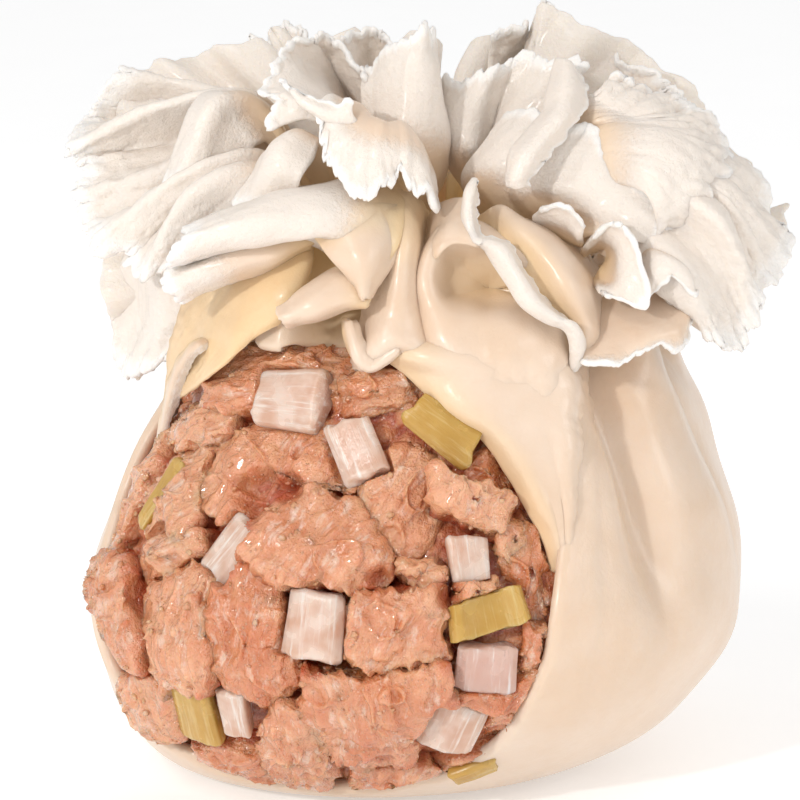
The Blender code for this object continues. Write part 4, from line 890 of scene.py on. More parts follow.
      [(0.5, -5.5, 38.4), (0.5, -6, 36.4), (0.5, -6.6, 33.9), (1, -10.5, 31.6), (2.5, -13.8, 29.4),
       (2.9, -13.2, 28.2)]]),
    # front panel
    (0, 0, 0.7, (2, 3),
     [[(-2.4, -11.8, 32.4), (0, -12.8, 32.2), (2.9, -12.7, 32.2), (6.3, -11.8, 32),
       (9.1, -10.6, 31.3), (10.7, -8.3, 30.2)],
      [(-2.5, -14.1, 31.2), (-0.3, -16, 31.3), (2.9, -16.2, 31.2), (6.5, -15.4, 30.9),
       (9.5, -14.2, 30.3), (10.9, -10.2, 28.8)],
      [(-0.8, -15, 29.8), (1.2, -16.3, 29.8), (3.7, -16.6, 29.4), (7.1, -16, 29),
       (9.8, -15.2, 28.7), (11, -11.2, 27.4)],
      [(2, -16.3, 27.5), (3.1, -17.1, 27.7), (5.1, -17.1, 27.5), (7.7, -16.7, 27.1),
       (9.9, -16.1, 26.8), (11.1, -12.3, 25.6)],
      [(4.3, -16.8, 25.7), (5.3, -17.5, 26), (6.5, -17.4, 25.8), (8.2, -17.1, 25.5),
       (9.9, -16.9, 25.3), (11, -13.2, 24.1)],
      [(5.9, -17.4, 23.5), (6.7, -18, 23.9), (7.7, -17.9, 23.7), (8.8, -17.7, 23.6),
       (9.9, -17.5, 23.4), (10.9, -14.4, 22.3)],
      [(7.2, -17.9, 21.3), (7.9, -18.5, 21.7), (8.5, -18.3, 21.5), (9.2, -18.1, 21.4),
       (9.8, -18, 21.3), (10.7, -15.4, 20.3)],
      [(8.2, -18, 19.3), (8.8, -18.4, 19.5), (9, -18.4, 19.5), (9.4, -18.4, 19.4),
       (9.7, -18.3, 19.3), (10.4, -16.3, 18.6)],
      [(8.7, -17.9, 17.5), (9, -18.1, 17.6), (9.3, -18.1, 17.6), (9.5, -18, 17.6),
       (9.7, -17.9, 17.5), (10.1, -16.8, 17)]]),
    # window lip
    (0.3, 0.4, 0.5, (2, 3),
     [[(-4.8, -14.2, 33.1), (-4.5, -15, 33.1), (-4.2, -14.4, 33)],
      [(-4.7, -14.6, 32), (-4.2, -15.6, 31.9), (-3.7, -15, 32.2)],
      [(-4.1, -14.8, 30.8), (-3.8, -15.9, 30.7), (-3.2, -15.4, 31.3)],
      [(-3.3, -14.8, 30.2), (-3.1, -16, 30.2), (-2.7, -15.6, 30.8)],
      [(-2.4, -14.8, 30.5), (-2.2, -16.1, 30.7), (-2.3, -15.8, 31.6)],
      [(-1.7, -14.8, 30.9), (-1.4, -16.1, 31.4), (-1.5, -15.8, 32.1)]]),
    # left window lip
    (0.2, 0.35, 0.4, (0.3, 0.9),
     [[(-13.5, -8.8, 30.7), (-13.4, -9.4, 30.7), (-13.4, -9.2, 30.5)],
      [(-14.6, -9.2, 30.6), (-14.4, -10.6, 30.7), (-14.2, -10.2, 30.3)],
      [(-15.6, -7.6, 29.5), (-15.3, -9.3, 29.5), (-14.9, -8.8, 29.2)],
      [(-16.4, -5.8, 27.7), (-16, -7.7, 28), (-15.6, -7.4, 27.8)],
      [(-16.9, -4.4, 25.7), (-16.6, -6.3, 25.9), (-16.2, -6, 25.7)],
      [(-17.3, -3, 23.6), (-17, -4.6, 23.9), (-16.8, -4.4, 23.7)],
      [(-17.8, -1.2, 21.7), (-17.6, -2.4, 21.8), (-17.3, -2.2, 21.7)]]),
]}


def spline_through(points, places):
    """A smooth line through a row of points along the first axis, read at places from 0 to 1."""
    count = len(points)
    place = np.clip(places, 0, 1) * (count - 1)
    index = np.minimum(place.astype(int), count - 2)
    t = (place - index).reshape(-1, *([1] * (points.ndim - 1)))
    spread = np.concatenate([2 * points[:1] - points[1:2], points, 2 * points[-1:] - points[-2:-1]])
    a, b, c, d = [spread[index + k] for k in range(4)]
    return 0.5 * (2 * b + (c - a) * t + (2 * a - 5 * b + 4 * c - d) * t**2
                  + (3 * b - a - 3 * c + d) * t**3)


def build_petal(rays, crimp, ragged, wall, seed):
    """A petal as a closed shell from its rays, each a few points from the neck out to the rim."""
    rays = np.array(rays, float)
    width = np.linalg.norm(np.diff(rays[:, -1], axis=0), axis=1).sum()
    height = np.linalg.norm(np.diff(rays, axis=1), axis=2).sum(axis=1).mean()
    columns, rows = max(int(width / PETAL_STEP), 12), max(int(height / RAY_STEP), 8)
    across = np.linspace(0, 1, columns)
    lines = spline_through(rays, across)
    a, w = np.meshgrid(across, np.linspace(0, 1, rows), indexing="ij")
    points = np.stack([spline_through(line, np.linspace(0, 1, rows)) for line in lines])
    along = a * width
    places = np.stack([along, np.zeros_like(a), np.zeros_like(a)], -1).reshape(-1, 3)
    tear = grain(places, 1.6, seed) + 0.9 * grain(places, 0.62, seed + 3)
    tear += 0.6 * grain(places, 0.3, seed + 4)
    tear -= 1.5 * smooth(0.25, 0.6, grain(places, 2.6, seed + 5))
    tear = tear.reshape(a.shape) * TEAR_DEPTH * ragged
    outward = points[:, -1] - points[:, -2]
    outward /= np.linalg.norm(outward, axis=1, keepdims=True)
    points = points + outward[:, None] * (tear * smooth(0.7, 1.0, w))[..., None]
    flat = points.reshape(-1, 3)
    k = np.arange((columns - 1) * rows).reshape(columns - 1, rows)[:, :-1].ravel()
    faces = np.concatenate([np.stack([k, k + rows, k + rows + 1], 1),
                            np.stack([k, k + rows + 1, k + 1], 1)])
    normal = corner_normals(flat, faces)
    w, along = w.ravel(), along.ravel()
    strips = np.stack([along, 0.16 * w * height, np.zeros_like(w)], -1)
    fold = 0.45 * grain(strips, 2.3, seed + 7) + 0.2 * grain(strips, 0.9, seed + 9)
    fold += 0.06 * grain(strips, 0.4, seed + 10)
    crimps = smooth(0.75, 1, w) * 0.35 * grain(strips, 0.8, seed + 11)
    crumple = 0.16 * grain(flat, 0.8, seed + 1) + 0.13 * grain(flat, 0.38, seed + 6)
    push = crimp * (smooth(0.1, 1.0, w) * fold + crimps) + 0.16 * grain(flat, 1.9, seed)
    push += smooth(0.45, 1, w) * crumple * crimp
    middle = flat + normal * push[:, None]
    normal = corner_normals(middle, faces)
    half = wall * (0.5 - 0.24 * smooth(0.5, 0.85, w) + 0.14 * smooth(0.9, 0.97, w)
                   + 0.2 * grain(flat, 0.6, seed + 2) * smooth(0.6, 1, w))
    outer, inner = middle + normal * half[:, None], middle - normal * half[:, None]
    points, faces, source = close_sheet(faces, outer, inner)
    return points, faces, w[source]


floury_dough = dough_material("floury dough", 0.25, (1, 0.86, 0.72), 0.0006)
petal_seed = FIRST_PETAL_SEED
for name, group in PETALS.items():
    points, faces, marks = [], [], []
    for crimp, ragged, wall, floury, rays in group:
        corners, sides, out = build_petal(rays, crimp, ragged, wall, petal_seed)
        petal_seed += 1
        # Painted shade: warm yellow down in each petal's fold, fading out towards its rim.
        fold_shade = np.interp(floury[0], FLOUR_STARTS, PETAL_FOLD_SHADE)
        deep = 1 - smooth(0, 0.45 if floury[0] < SHADED_ALL_OVER else 2.5, out)
        faces.append(sides + sum(map(len, points)))
        points.append(corners)
        marks.append(np.stack([smooth(floury[0], floury[1], out), fold_shade * deep,
                               smooth(0.86, 0.99, out) * (floury[0] < 1)]))
    marks = dict(zip(("rim", "fold", "edge"), np.concatenate(marks, axis=1)))
    petals = make_piece(name, np.concatenate(points), np.concatenate(faces), marks)
    petals.data.materials.append(floury_dough)
    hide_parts("wrapper")
    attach(petals, "root")

# ---- Filling ------------------------------------------------------------------------------------
# Mutton cut into pieces with a knife and packed with its broth round it. It fills the belly and
# runs through it, and the window shows the cut faces of the pieces, with wet gaps painted dark as shade.

BACKING = 1.3  # from the dough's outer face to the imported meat
CUT = 0.18  # between the points of a piece's mesh
# Knife-cut pieces that face the window: how far their faces stand out, how much further at the top
# and at the right, how brown, the run of the fibres, and the outline as bearings and heights.
MEAT = [
    (-0.5, -0.9, -0.8, 0.55, 8, [(-60.1, 27.9), (-58.3, 29.1), (-55.1, 30.5), (-46.7, 31.5),
     (-38.8, 31.9), (-28.2, 32.5), (-21.3, 32), (-19.3, 30.9), (-19.1, 29.9), (-24.5, 28.1),
     (-32.6, 27.2), (-41.9, 27), (-47.6, 26.3), (-52.7, 26.3)]),
    (-1.1, 0.6, -0.2, 0.6, 12, [(-23.1, 29.5), (-16.5, 30.2), (-8.3, 30.1), (-0.9, 29.5),
     (-3.1, 28.8), (-5.5, 28.1), (-10.6, 27.7), (-17.9, 27.4), (-21.5, 27.9)]),
    (-1.2, 0.2, 1.0, 0.0, 60, [(-85, 16), (-86, 20), (-83, 24), (-76, 25), (-72, 22), (-73, 18),
     (-76, 15.5), (-80, 14.5)]),
    (-0.4, -0.6, 0.9, 0.15, 30, [(-75.7, 23.7), (-71.7, 25.3), (-64.9, 26.9), (-57.1, 27.7),
     (-47.5, 26.4), (-48.7, 24.8), (-55, 23.8), (-67, 23.2)]),
    (-0.1, -0.8, 0.2, 0.5, 70, [(-51, 24.6), (-44.7, 26.2), (-34, 26.8), (-23.5, 26.4),
     (-20.2, 25.3), (-14.9, 23.2), (-15.5, 22.5), (-21.1, 22.9), (-27.6, 21.9), (-29.9, 20.5),
     (-35.1, 20.7), (-38.7, 19.9), (-45.5, 20.5), (-49.6, 22.7)]),
    (-0.7, 0.3, -0.6, 0.45, 55, [(-12.6, 24), (-7.9, 25.6), (-1.7, 25.4), (1.6, 24.7),
     (0.2, 23.2), (2.2, 21.8), (1.4, 20.2), (-0.6, 18.9), (-5.4, 19.1), (-8.4, 20.3),
     (-13.3, 21.8), (-15.3, 22.6)]),
    (1, -0.5, -1.2, 0.55, 62, [(-33.9, 19.3), (-29.4, 21.7), (-24.4, 22.4), (-20, 22.9),
     (-13.2, 21.9), (-8.3, 19.9), (-5.3, 18.6), (-6.2, 17.6), (-12.5, 16.7), (-17.4, 17.2),
     (-23.7, 16.7), (-28.5, 17.9), (-31.6, 18.3)]),
    (0.7, 0.5, -0.4, 0.45, 70, [(-14.1, 15.8), (-8, 16.8), (2.5, 17.2), (5.2, 16.5), (4.4, 14.3),
     (6.2, 12.6), (2, 12.2), (-6.3, 11.7), (-9.6, 12.2), (-12.4, 13.7)]),
    (1.1, 0.2, -0.5, 0, 80, [(-0.4, 23.2), (1.7, 24.2), (4.9, 23.2), (11, 23.2), (16.8, 22.1),
     (16, 20.9), (13.5, 19.9), (10.1, 20.6), (6.6, 21.2), (2.2, 21.5)]),
    (-0.1, 0, -0.2, 0.1, 5, [(-4.8, 18.6), (0.8, 19), (4.5, 18.2), (3.6, 17), (-0.1, 16.9),
     (-4.3, 17.6)]),
    (0, 0, -0.4, 0.15, 60, [(5.6, 17.3), (10.3, 18.2), (13.9, 16.9), (13.2, 15.8), (8.3, 15.8),
     (6.2, 16.2)]),
    (0.6, -0.4, 1, 0.3, 97, [(-58.4, 12.7), (-54, 15.3), (-45.4, 17.2), (-38.5, 17.3),
     (-36.4, 16.2), (-35.9, 14), (-34.6, 10), (-35.8, 9.2), (-45.2, 8.1), (-50, 9.7),
     (-51.6, 11.7), (-56.5, 12.5)]),
    (0.4, 0.5, -0.5, 0.75, 85, [(-36.5, 16.5), (-33, 17.8), (-25.6, 17.2), (-24.2, 15.6),
     (-23.5, 12.8), (-18.5, 12), (-19.9, 10), (-25.5, 8.1), (-32.2, 9.5), (-35.2, 10.9),
     (-35.9, 14)]),
    (0.7, 0.2, 1.2, 0.4, 120, [(-83.9, 13.3), (-73.9, 15.9), (-60.4, 16), (-56.5, 14.3),
     (-51.7, 12), (-50.7, 10), (-56.4, 9.5), (-65.8, 11.6), (-74.7, 12.7)]),
    (0.1, 0.4, 0.6, 0.35, 28, [(-64.3, 16.2), (-55.3, 18), (-44, 19.2), (-40.7, 18),
     (-45.4, 17.2), (-53.9, 15.2), (-57.9, 15)]),
    (0.6, 0.4, 0.2, 0.6, 100, [(-18.7, 11.4), (-12.7, 11.7), (-8.2, 11.1), (-4.3, 11.8),
     (3.5, 12.3), (7, 10.8), (6.4, 9.5), (3.2, 8.3), (2.4, 5.5), (0.6, 4.4), (-5.8, 4.2),
     (-13, 4.7), (-17.7, 8.3)]),
    (-0.6, 0.4, -0.6, 0.95, 45, [(7.6, 10.2), (14.5, 10.2), (22.7, 11.4), (24.4, 7.9),
     (24.2, 5.5), (16.5, 6.1), (11.7, 8.2), (8.4, 9.3)]),
    (0.1, 0.2, 0.8, 0.1, 90, [(-68.3, 7.1), (-50.4, 9.2), (-44.2, 8.3), (-45, 5.9), (-48.7, 4.2),
     (-57.6, 3.4), (-66.7, 4.1), (-82.1, 4.3)]),
    (-0.4, 0.4, 0.3, 0.75, 15, [(-47.4, 3.7), (-35.1, 4.4), (-27.1, 4.4), (-25.4, 2.5),
     (-28.5, 0.8), (-42.2, 0.9), (-51.7, 1.3)]),
    (0.1, 0.3, 0, 0.45, 92, [(-27.6, 6), (-23.3, 9.3), (-18.2, 8.5), (-15, 6.8), (-13.2, 4),
     (-13.3, 1.6), (-22, 1), (-27, 2.5)]),
    (-0.2, 0.3, -0.2, 0.55, 85, [(-9.3, 4.1), (0.8, 4.2), (8.7, 3.4), (13.2, 1.2), (1.4, 1.2),
     (-7.7, 1.7)]),
    (-0.6, 0.3, -0.3, 0.7, 20, [(8.5, 3.7), (18, 5.4), (23.8, 5.2), (23.3, 3.3), (20.5, 2.3),
     (14, 1.7)]),
    (0, -0.3, 1, 0.2, 50, [(-69.9, 19.3), (-66.2, 22.2), (-64.3, 23.2), (-52, 24.2),
     (-45.5, 20.7), (-46.8, 18.4), (-55.4, 19.1), (-59.5, 17.7)]),
    (-1.3, 0.2, -0.2, 0.9, 30, [(4.3, 24.2), (12.6, 26.1), (15.7, 24.4), (17.6, 23), (15.4, 22),
     (10.3, 23.2), (5.7, 23.4)]),
    (-1.1, 0.2, -0.4, 0.85, 80, [(13.6, 19.6), (18.7, 21.8), (22.7, 18.9), (24.9, 16.1),
     (23.9, 13.9), (19.1, 14.6), (17.5, 16.9), (15.1, 18)]),
    (-0.9, 0.2, -0.4, 0.8, 80, [(18.2, 14.7), (23.9, 14.2), (23.9, 11.4), (21.3, 10.9),
     (18.3, 11.5)]),
    (-0.9, 0, 0, 0.8, 40, [(-18.9, 12.4), (-12, 12.1), (-8.1, 11.4), (-8, 10.2), (-13.8, 10),
     (-18.2, 10.6)]),
    (-0.5, 0.2, -0.4, 0.4, 100, [(13.5, 20), (16.2, 21.1), (18.9, 20.6), (18.4, 19), (15.3, 18.6)]),
]
# Hollows sunk between and in the pieces, with painted shade: bearing, height, half the width and depth.
HOLLOWS = [(-33, 21.9, 2.3, 2.0), (-27, 22.6, 1.3, 1.2), (-7.5, 17.6, 0.9, 1.2), (4.6, 16.6, 1.0, 1.4),
           (-17, 12.0, 1.2, 1.0), (-4, 5.6, 0.9, 0.6), (-38.5, 8.0, 1.0, 0.8)]


def on_belly(bearing, height, out=0.0):
    """Points out from the belly's outer face, and the ways straight out there."""
    s = np.linspace(0.12, 1, 500)
    radius, heights, lean = along_profile(s)
    slope = np.gradient(radius) / np.gradient(heights)
    radius, lean, slope = [np.interp(height, heights, value) for value in (radius, lean, slope)]
    angle = np.radians(bearing)
    squat = 1 - SQUAT * (1 - smooth(0, 11, np.asarray(height)))
    way = np.stack([np.sin(angle), -np.cos(angle), -slope], -1)
    way /= np.linalg.norm(way, axis=-1, keepdims=True)
    place = np.stack([radius * np.sin(angle) + lean, -radius * squat * np.cos(angle),
                      np.broadcast_to(height, np.shape(radius))], -1)
    return place + way * np.asarray(out)[..., None], way


def surface_frame(bearing, height, turn):
    """A place on the belly's outer face, in millimetres: X runs round the belly and Y up it, both
    turned by some degrees, and Z straight out."""
    place, out = on_belly(np.array(float(bearing)), np.array(float(height)))
    round_it, out = bearing_direction(bearing + 90), Vector(out)
    up = out.cross(round_it).normalized()
    round_it = up.cross(out)
    frame = Matrix((round_it, up, out)).transposed().to_4x4()
    return Matrix.Translation(place) @ frame @ Matrix.Rotation(math.radians(turn), 4, "Z")


def in_frame(points, frame):
    """These points as the frame's own X, Y and Z."""
    back = np.array(frame.inverted())
    return points @ back[:3, :3].T + back[:3, 3]


def meat_piece(out, rise, lean, brown, run, outline, seed):
    """A knife-cut piece as a closed mesh, with its marks. Its face is a little uneven, its edge is
    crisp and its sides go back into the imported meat."""
    outline = np.array(outline, float)
    outline = outline.mean(axis=0) + (outline - outline.mean(axis=0)) * 1.035
    ring = on_belly(outline[:, 0], outline[:, 1])[0]
    corner = np.linalg.norm(np.diff(ring, axis=0, append=ring[:1]), axis=1)
    length = np.concatenate([[0], np.cumsum(corner)])
    columns = int(length[-1] / CUT)
    at = np.linspace(0, length[-1], columns, endpoint=False)
    closed = np.concatenate([outline, outline[:1]])
    edge = np.stack([np.interp(at, length, closed[:, k]) for k in range(2)], -1)
    for _ in range(3):
        edge = 0.5 * edge + 0.25 * (np.roll(edge, 1, axis=0) + np.roll(edge, -1, axis=0))
    middle = edge.mean(axis=0)
    spread = np.abs(edge - middle).max(axis=0)
    away = (edge - middle) / spread
    level = out + rise * away[:, 1] + lean * away[:, 0]
    reach = np.linalg.norm(ring - on_belly(*middle)[0], axis=1).mean()
    inner = np.linspace(0, 1, max(int(reach / CUT), 6) + 1)[1:]
    steps = [(0.9, 4.0), (0.97, 2.6), (1.0, 1.6), (1.01, 1.0), (1.005, 0.55), (0.99, 0.22),
             (0.965, 0.05)]  # scale and depth of each ring, up the piece's sides and over its edge
    steps += [(t * 0.94, 0) for t in inner[::-1]]
    rows, back = [], []
    for scale, drop in steps:
        place = middle + (edge - middle) * scale
        height = out + (level - out) * scale - drop + 0.7 * (1 - min(scale / 0.965, 1) ** 2)
        rows.append(on_belly(place[:, 0], np.clip(place[:, 1], 0.4, 34), height)[0])
        back.append(np.full(columns, drop))
    points = np.concatenate(rows + [on_belly(*middle[:, None], np.array([out]))[0]])
    back = np.concatenate(back + [[0.0]])
    faces = []
    for row in range(len(steps) - 1):
        k = row * columns + np.arange(columns)
        after = row * columns + (np.arange(columns) + 1) % columns
        faces.append(np.stack([k, after, after + columns], 1))
        faces.append(np.stack([k, after + columns, k + columns], 1))
    last = (len(steps) - 1) * columns + np.arange(columns)
    faces.append(np.stack([last, np.roll(last, -1), np.full(columns, len(points) - 1)], 1))
    faces = np.concatenate(faces)
    frame = surface_frame(*middle, run)
    local = in_frame(points, frame)
    fibre = np.stack([local[:, 1], local[:, 0] * 0.13, local[:, 2] * 0.5], -1) + seed * 3.7
    outward = on_belly(*middle)[1]
    ragged = grain(points, 1.7, seed) * 0.5 + grain(points, 0.7, seed + 1) * 0.28
    side = points - on_belly(*middle)[0]
    side -= np.outer(side @ outward, outward)
    side /= np.maximum(np.linalg.norm(side, axis=1, keepdims=True), 0.6)
    points = points + side * ragged[:, None]
    normal = corner_normals(points, faces)
    strands = 0.24 * grain(fibre, 0.8, 21) + 0.2 * grain(fibre, 0.4, 22)
    ridge = np.abs(grain(points, 2.4, 30 + seed))
    lumps = 0.42 * grain(points, 3.0, 23 + seed) - 0.3 * (1 - smooth(0, 0.12, ridge))
    lumps = lumps + 0.11 * grain(points, 1.0, 24) + 0.06 * grain(points, 0.45, 25)
    points = points + normal * (strands + lumps)[:, None]
    for bearing, height, half, depth in HOLLOWS:
        local = in_frame(points, surface_frame(bearing, height, 0))
        near = np.hypot(local[:, 0], local[:, 1] * 1.15) / half + 0.35 * grain(points, 1.3, 20)
        sunk = depth * (1 - smooth(0.3, 1.15, near)) * (local[:, 2] > -4)
        points = points - sunk[:, None] * outward
    return points, faces, back, np.full(len(points), brown), fibre


def packed_core(columns=150):
    """The closed lump of meat inside the belly, behind the pieces that face the window. Its points
    lie on a round grid, and crumbs and strands of meat stand out where the window shows it."""
    s = np.linspace(2 / 14, 12.2 / 14, 110)
    u = np.arange(columns * 2) / (columns * 2)
    rings = []
    for step in s:
        ring = dough_surface(u, np.full(len(u), step))
        inward = np.array([0, 0, 1]) if step < 0.2 else (ring.mean(axis=0) - ring)
        size = np.linalg.norm(inward, axis=-1, keepdims=True)
        rings.append(ring + inward / size * BACKING)
    rings[0][:, 2] = BACKING
    count = len(u)
    faces = []
    for row in range(len(rings) - 1):
        a, b = row * count + np.arange(count), row * count + (np.arange(count) + 1) % count
        faces += [np.stack([a, b, b + count], 1), np.stack([a, b + count, a + count], 1)]
    points = np.concatenate(rings + [rings[0].mean(axis=0)[None], rings[-1].mean(axis=0)[None]])
    foot, top, last = len(points) - 2, len(points) - 1, (len(rings) - 1) * count
    k = np.arange(count)
    faces.append(np.stack([np.full(count, foot), np.roll(k, -1), k], 1))
    faces.append(np.stack([np.full(count, top), last + k, last + np.roll(k, -1)], 1))
    faces = np.concatenate(faces)
    normal = corner_normals(points, faces)
    front = smooth(-0.1, 0.2, -window_value(points))
    cells = np.array([noise.voronoi(Vector(p) / 1.9)[0][:2] for p in points.tolist()])
    bumps = 1.6 * np.minimum(cells[:, 1] - cells[:, 0], 0.5) - 0.7
    bumps += 0.4 * grain(points, 2.6, 3) + 0.25 * grain(points, 0.8, 4)
    points = points + normal * (bumps * front)[:, None]
    # How far back each point lies, most at the borders of the cells, which build_filling turns into painted
    # shade.
    back = front * (1.5 - 1.6 * np.minimum(cells[:, 1] - cells[:, 0], 0.6))
    fibre = points * np.array([1, 1, 0.3])
    return points, faces, back, 0.6 + 0.3 * grain(points, 3.0, 5), fibre


def evened(values, faces, rounds):
    """Values at a mesh's corners, each averaged with its neighbours this many times."""
    a = np.concatenate([faces[:, 0], faces[:, 1], faces[:, 2]])
    b = np.concatenate([faces[:, 1], faces[:, 2], faces[:, 0]])
    count = np.bincount(a, minlength=len(values))[:, None]
    values = values if values.ndim == 2 else values[:, None]
    for _ in range(rounds):
        total = [np.bincount(a, values[b, k], len(values)) for k in range(values.shape[1])]
        total = np.stack(total, -1)
        values = 0.5 * values + 0.5 * total / np.maximum(count, 1)
    return values


def sunk_in(points, frame, half_width, half_length, level, edge=0.3):
    """Moves points in front of a level in a frame back to it, inside a box, with a soft border."""
    local = in_frame(points, frame)
    cover = 1 - smooth(half_width, half_width + edge, np.abs(local[:, 0]))
    cover *= 1 - smooth(half_length, half_length + edge, np.abs(local[:, 1]))
    drop = np.maximum(local[:, 2] - level, 0) * cover * (local[:, 2] < level + 6)
    return points - drop[:, None] * np.array(frame.col[2][:3])


def kept_in(points):
    """Holds the meat inside the dough, apart from where the window lets it stand out."""
    s = np.linspace(0.143, 1, 600)
    radius, heights, lean = along_profile(s)
    height = points[:, 2]
    most, lean = np.interp(height, heights, radius), np.interp(height, heights, lean)
    squat = 1 - SQUAT * (1 - smooth(0, 11, height))
    x, y = points[:, 0] - lean, points[:, 1] / squat
    reach = np.hypot(x, y)
    free = smooth(0.03, 0.1, -window_value(points))
    scale = np.minimum(1, (most - 1.1 + 4 * free) / np.maximum(reach, 0.1))
    return np.stack([x * scale + lean, y * scale * squat, np.maximum(height, BACKING)], -1)


def build_filling():
    """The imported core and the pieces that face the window, each as a name, points, faces and marks
    for its colour and the run of its fibres."""
    parts = [packed_core()] + [meat_piece(*row, seed=index + 3) for index, row in enumerate(MEAT)]
    start, faces, owner = 0, [], []
    for index, part in enumerate(parts):
        faces.append(part[1] + start)
        owner.append(np.full(len(part[0]), index))
        start += len(part[0])
    points, back, brown, fibre = [np.concatenate([part[k] for part in parts]) for k in (0, 2, 3, 4)]
    faces = np.concatenate(faces)
    for _, bearing, height, width, length, turn, out, thick, _ in STALKS:
        frame = surface_frame(bearing, height, turn)
        points = sunk_in(points, frame, width / 2 - 0.15, length / 2 - 0.15, out - 0.6 * thick)
    points = kept_in(points)
    normal = corner_normals(points, faces)
    # Painted shade mask: dark where a point lies back behind the cut faces, in a dent, or in a hollow.
    near = np.sum((evened(points, faces, 8) - points) * normal, -1)
    dent_shade = smooth(0.03, 0.3, near)
    gap = smooth(0.25, 2.2, back) + 0.45 * dent_shade
    for bearing, height, half, _ in HOLLOWS:
        local = in_frame(points, surface_frame(bearing, height, 0))
        away = np.linalg.norm(local[:, :2], axis=1) / half
        gap += 0.7 * (1 - smooth(0.2, 1.3, away + 0.4 * grain(points, 1.3, 20)))
    window = smooth(0.02, 0.1, -window_value(points)) * (back < 1.5)
    marks = {"gap": np.clip(gap, 0, 1), "brown": brown, "fibre": fibre, "window": window}
    core = len(parts[0][0])
    inside = faces[:, 0] < core
    core_marks = {label: mark[:core] for label, mark in marks.items()}
    piece_marks = {label: mark[core:] for label, mark in marks.items()}
    return [("mutton_core", points[:core], faces[inside], core_marks),
            ("mutton_pieces", points[core:], faces[~inside] - core, piece_marks)]


MEAT_PALE = (0.80, 0.39, 0.205)
MEAT_BROWN = (0.62, 0.18, 0.055)
# Dark red painted shade for the gaps and hollows of the meat.
MEAT_GAP_SHADE = (0.5, 0.07, 0.02)
MEAT_FAT = (0.84, 0.58, 0.44)


def meat_material():
    """Cooked mutton, wet with broth: fibrous, pale pink to brown, with dark red painted shade down in the
    gaps.
    """
    material, shader, wire = start_material("wet mutton")
    place = wire.node("ShaderNodeTexCoord", output=3)
    gap = wire.node("ShaderNodeAttribute", {"attribute_name": "gap"}, output=2)
    brown = wire.node("ShaderNodeAttribute", {"attribute_name": "brown"}, output=2)
    fibre = wire.node("ShaderNodeAttribute", {"attribute_name": "fibre"}, output=1)
    strands = fibre.node("ShaderNodeTexNoise", None,
                         {"Vector": fibre, "Scale": 2.6, "Detail": 4.0, "Roughness": 0.65})
    fine = noise_at(place, 0.4, 3.0, 0.65)
    patches = noise_at(place, 2.0, 3.0)
    tone = brown * 0.8 + (patches - 0.5) * 1.5 + (strands - 0.5) * 0.8
    base = tone.between(-0.1, 0.95).blend(MEAT_PALE, MEAT_BROWN)
    fatty = (strands * 0.55 + noise_at(place, 1.3, 3.0) * 0.5 - gap * 0.3).between(0.53, 0.68) * 0.75
    base = fatty.blend(base, MEAT_FAT)
    # Painted shade: dark red down in the gaps, dents and hollows.
    colour = (gap * 0.85 + (fine - 0.5) * 0.35).between(0.05, 1.0).blend(base, MEAT_GAP_SHADE)
    roughness = 0.05 + fine * 0.17
    relief = strands * 0.8 + fine * 0.5 + noise_at(place, 0.2, 2.0) * 0.3
    dress(shader, {"Base Color": colour, "Roughness": roughness}, relief, 0.3,
          {"Subsurface Weight": 0.4, "Subsurface Radius": (1.0, 0.35, 0.18), "Subsurface Scale": 0.0016,
           "IOR": 1.5, "Specular IOR Level": 1.0, "Coat Weight": 0.6, "Coat Roughness": 0.07,
           "Coat IOR": 1.45})
    return material


# Scallion and fat pieces in the filling, as bearing, height, width across the fibres, length, turn,
# how far they stand out, thickness, and how many degrees of the stalk's round they span.
STALKS = [("white_scallion_1", -33.5, 27.9, 4.2, 4.9, 94, 0.25, 1.9, 12),
          ("white_scallion_2", -15.5, 25.2, 3.7, 4.2, 24, 0.6, 2.4, 55),
          ("white_scallion_3", -36.0, 18.5, 3.0, 4.2, -28, 0.6, 2.0, 30),
          ("white_scallion_4", -17.5, 14.5, 4.4, 4.4, -6, 0.8, 1.8, 50),
          ("white_scallion_5", 8.1, 18.8, 2.7, 2.8, 0, 0.2, 1.8, 10),
          ("white_scallion_6", -32.0, 7.8, 2.4, 3.8, -2, 0.5, 1.6, 40),
          ("white_scallion_7", 8.0, 7.6, 4.2, 3.8, -20, 0.4, 2.0, 45),
          ("green_scallion_1", 2.5, 26.6, 3.1, 4.9, 56, 0.2, 1.4, 50),
          ("green_scallion_2", -60.0, 20.6, 1.5, 5.4, -26, 0.4, 1.3, 20),
          ("green_scallion_3", 11.5, 15.4, 4.6, 2.5, 14, 0.1, 1.2, -60),
          ("green_scallion_4", -40.5, 7.2, 3.5, 4.3, -8, 0.7, 1.3, 30),
          ("green_scallion_5", 15.6, 3.6, 1.6, 3.2, -62, 0.4, 1.2, 20),
          ("fat_1", 12.0, 11.7, 4.4, 3.0, -6, 0.1, 1.6, 40)]

wet_mutton = meat_material()
mutton_core, mutton_pieces = [make_piece(*part) for part in build_filling()]
for piece in (mutton_core, mutton_pieces):
    piece.data.materials.append(wet_mutton)
    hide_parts("filling")
    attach(piece, "root")

# ---- Scallion -----------------------------------------------------------------------------------
# Short lengths cut across a scallion, each a part of the stalk's round wall. The white ones are
# clear and striped along their fibres, the green ones are waxier, and one slip of fat lies by them.

SIDES, STATIONS = 44, 22  # points round a slip's mesh and along it


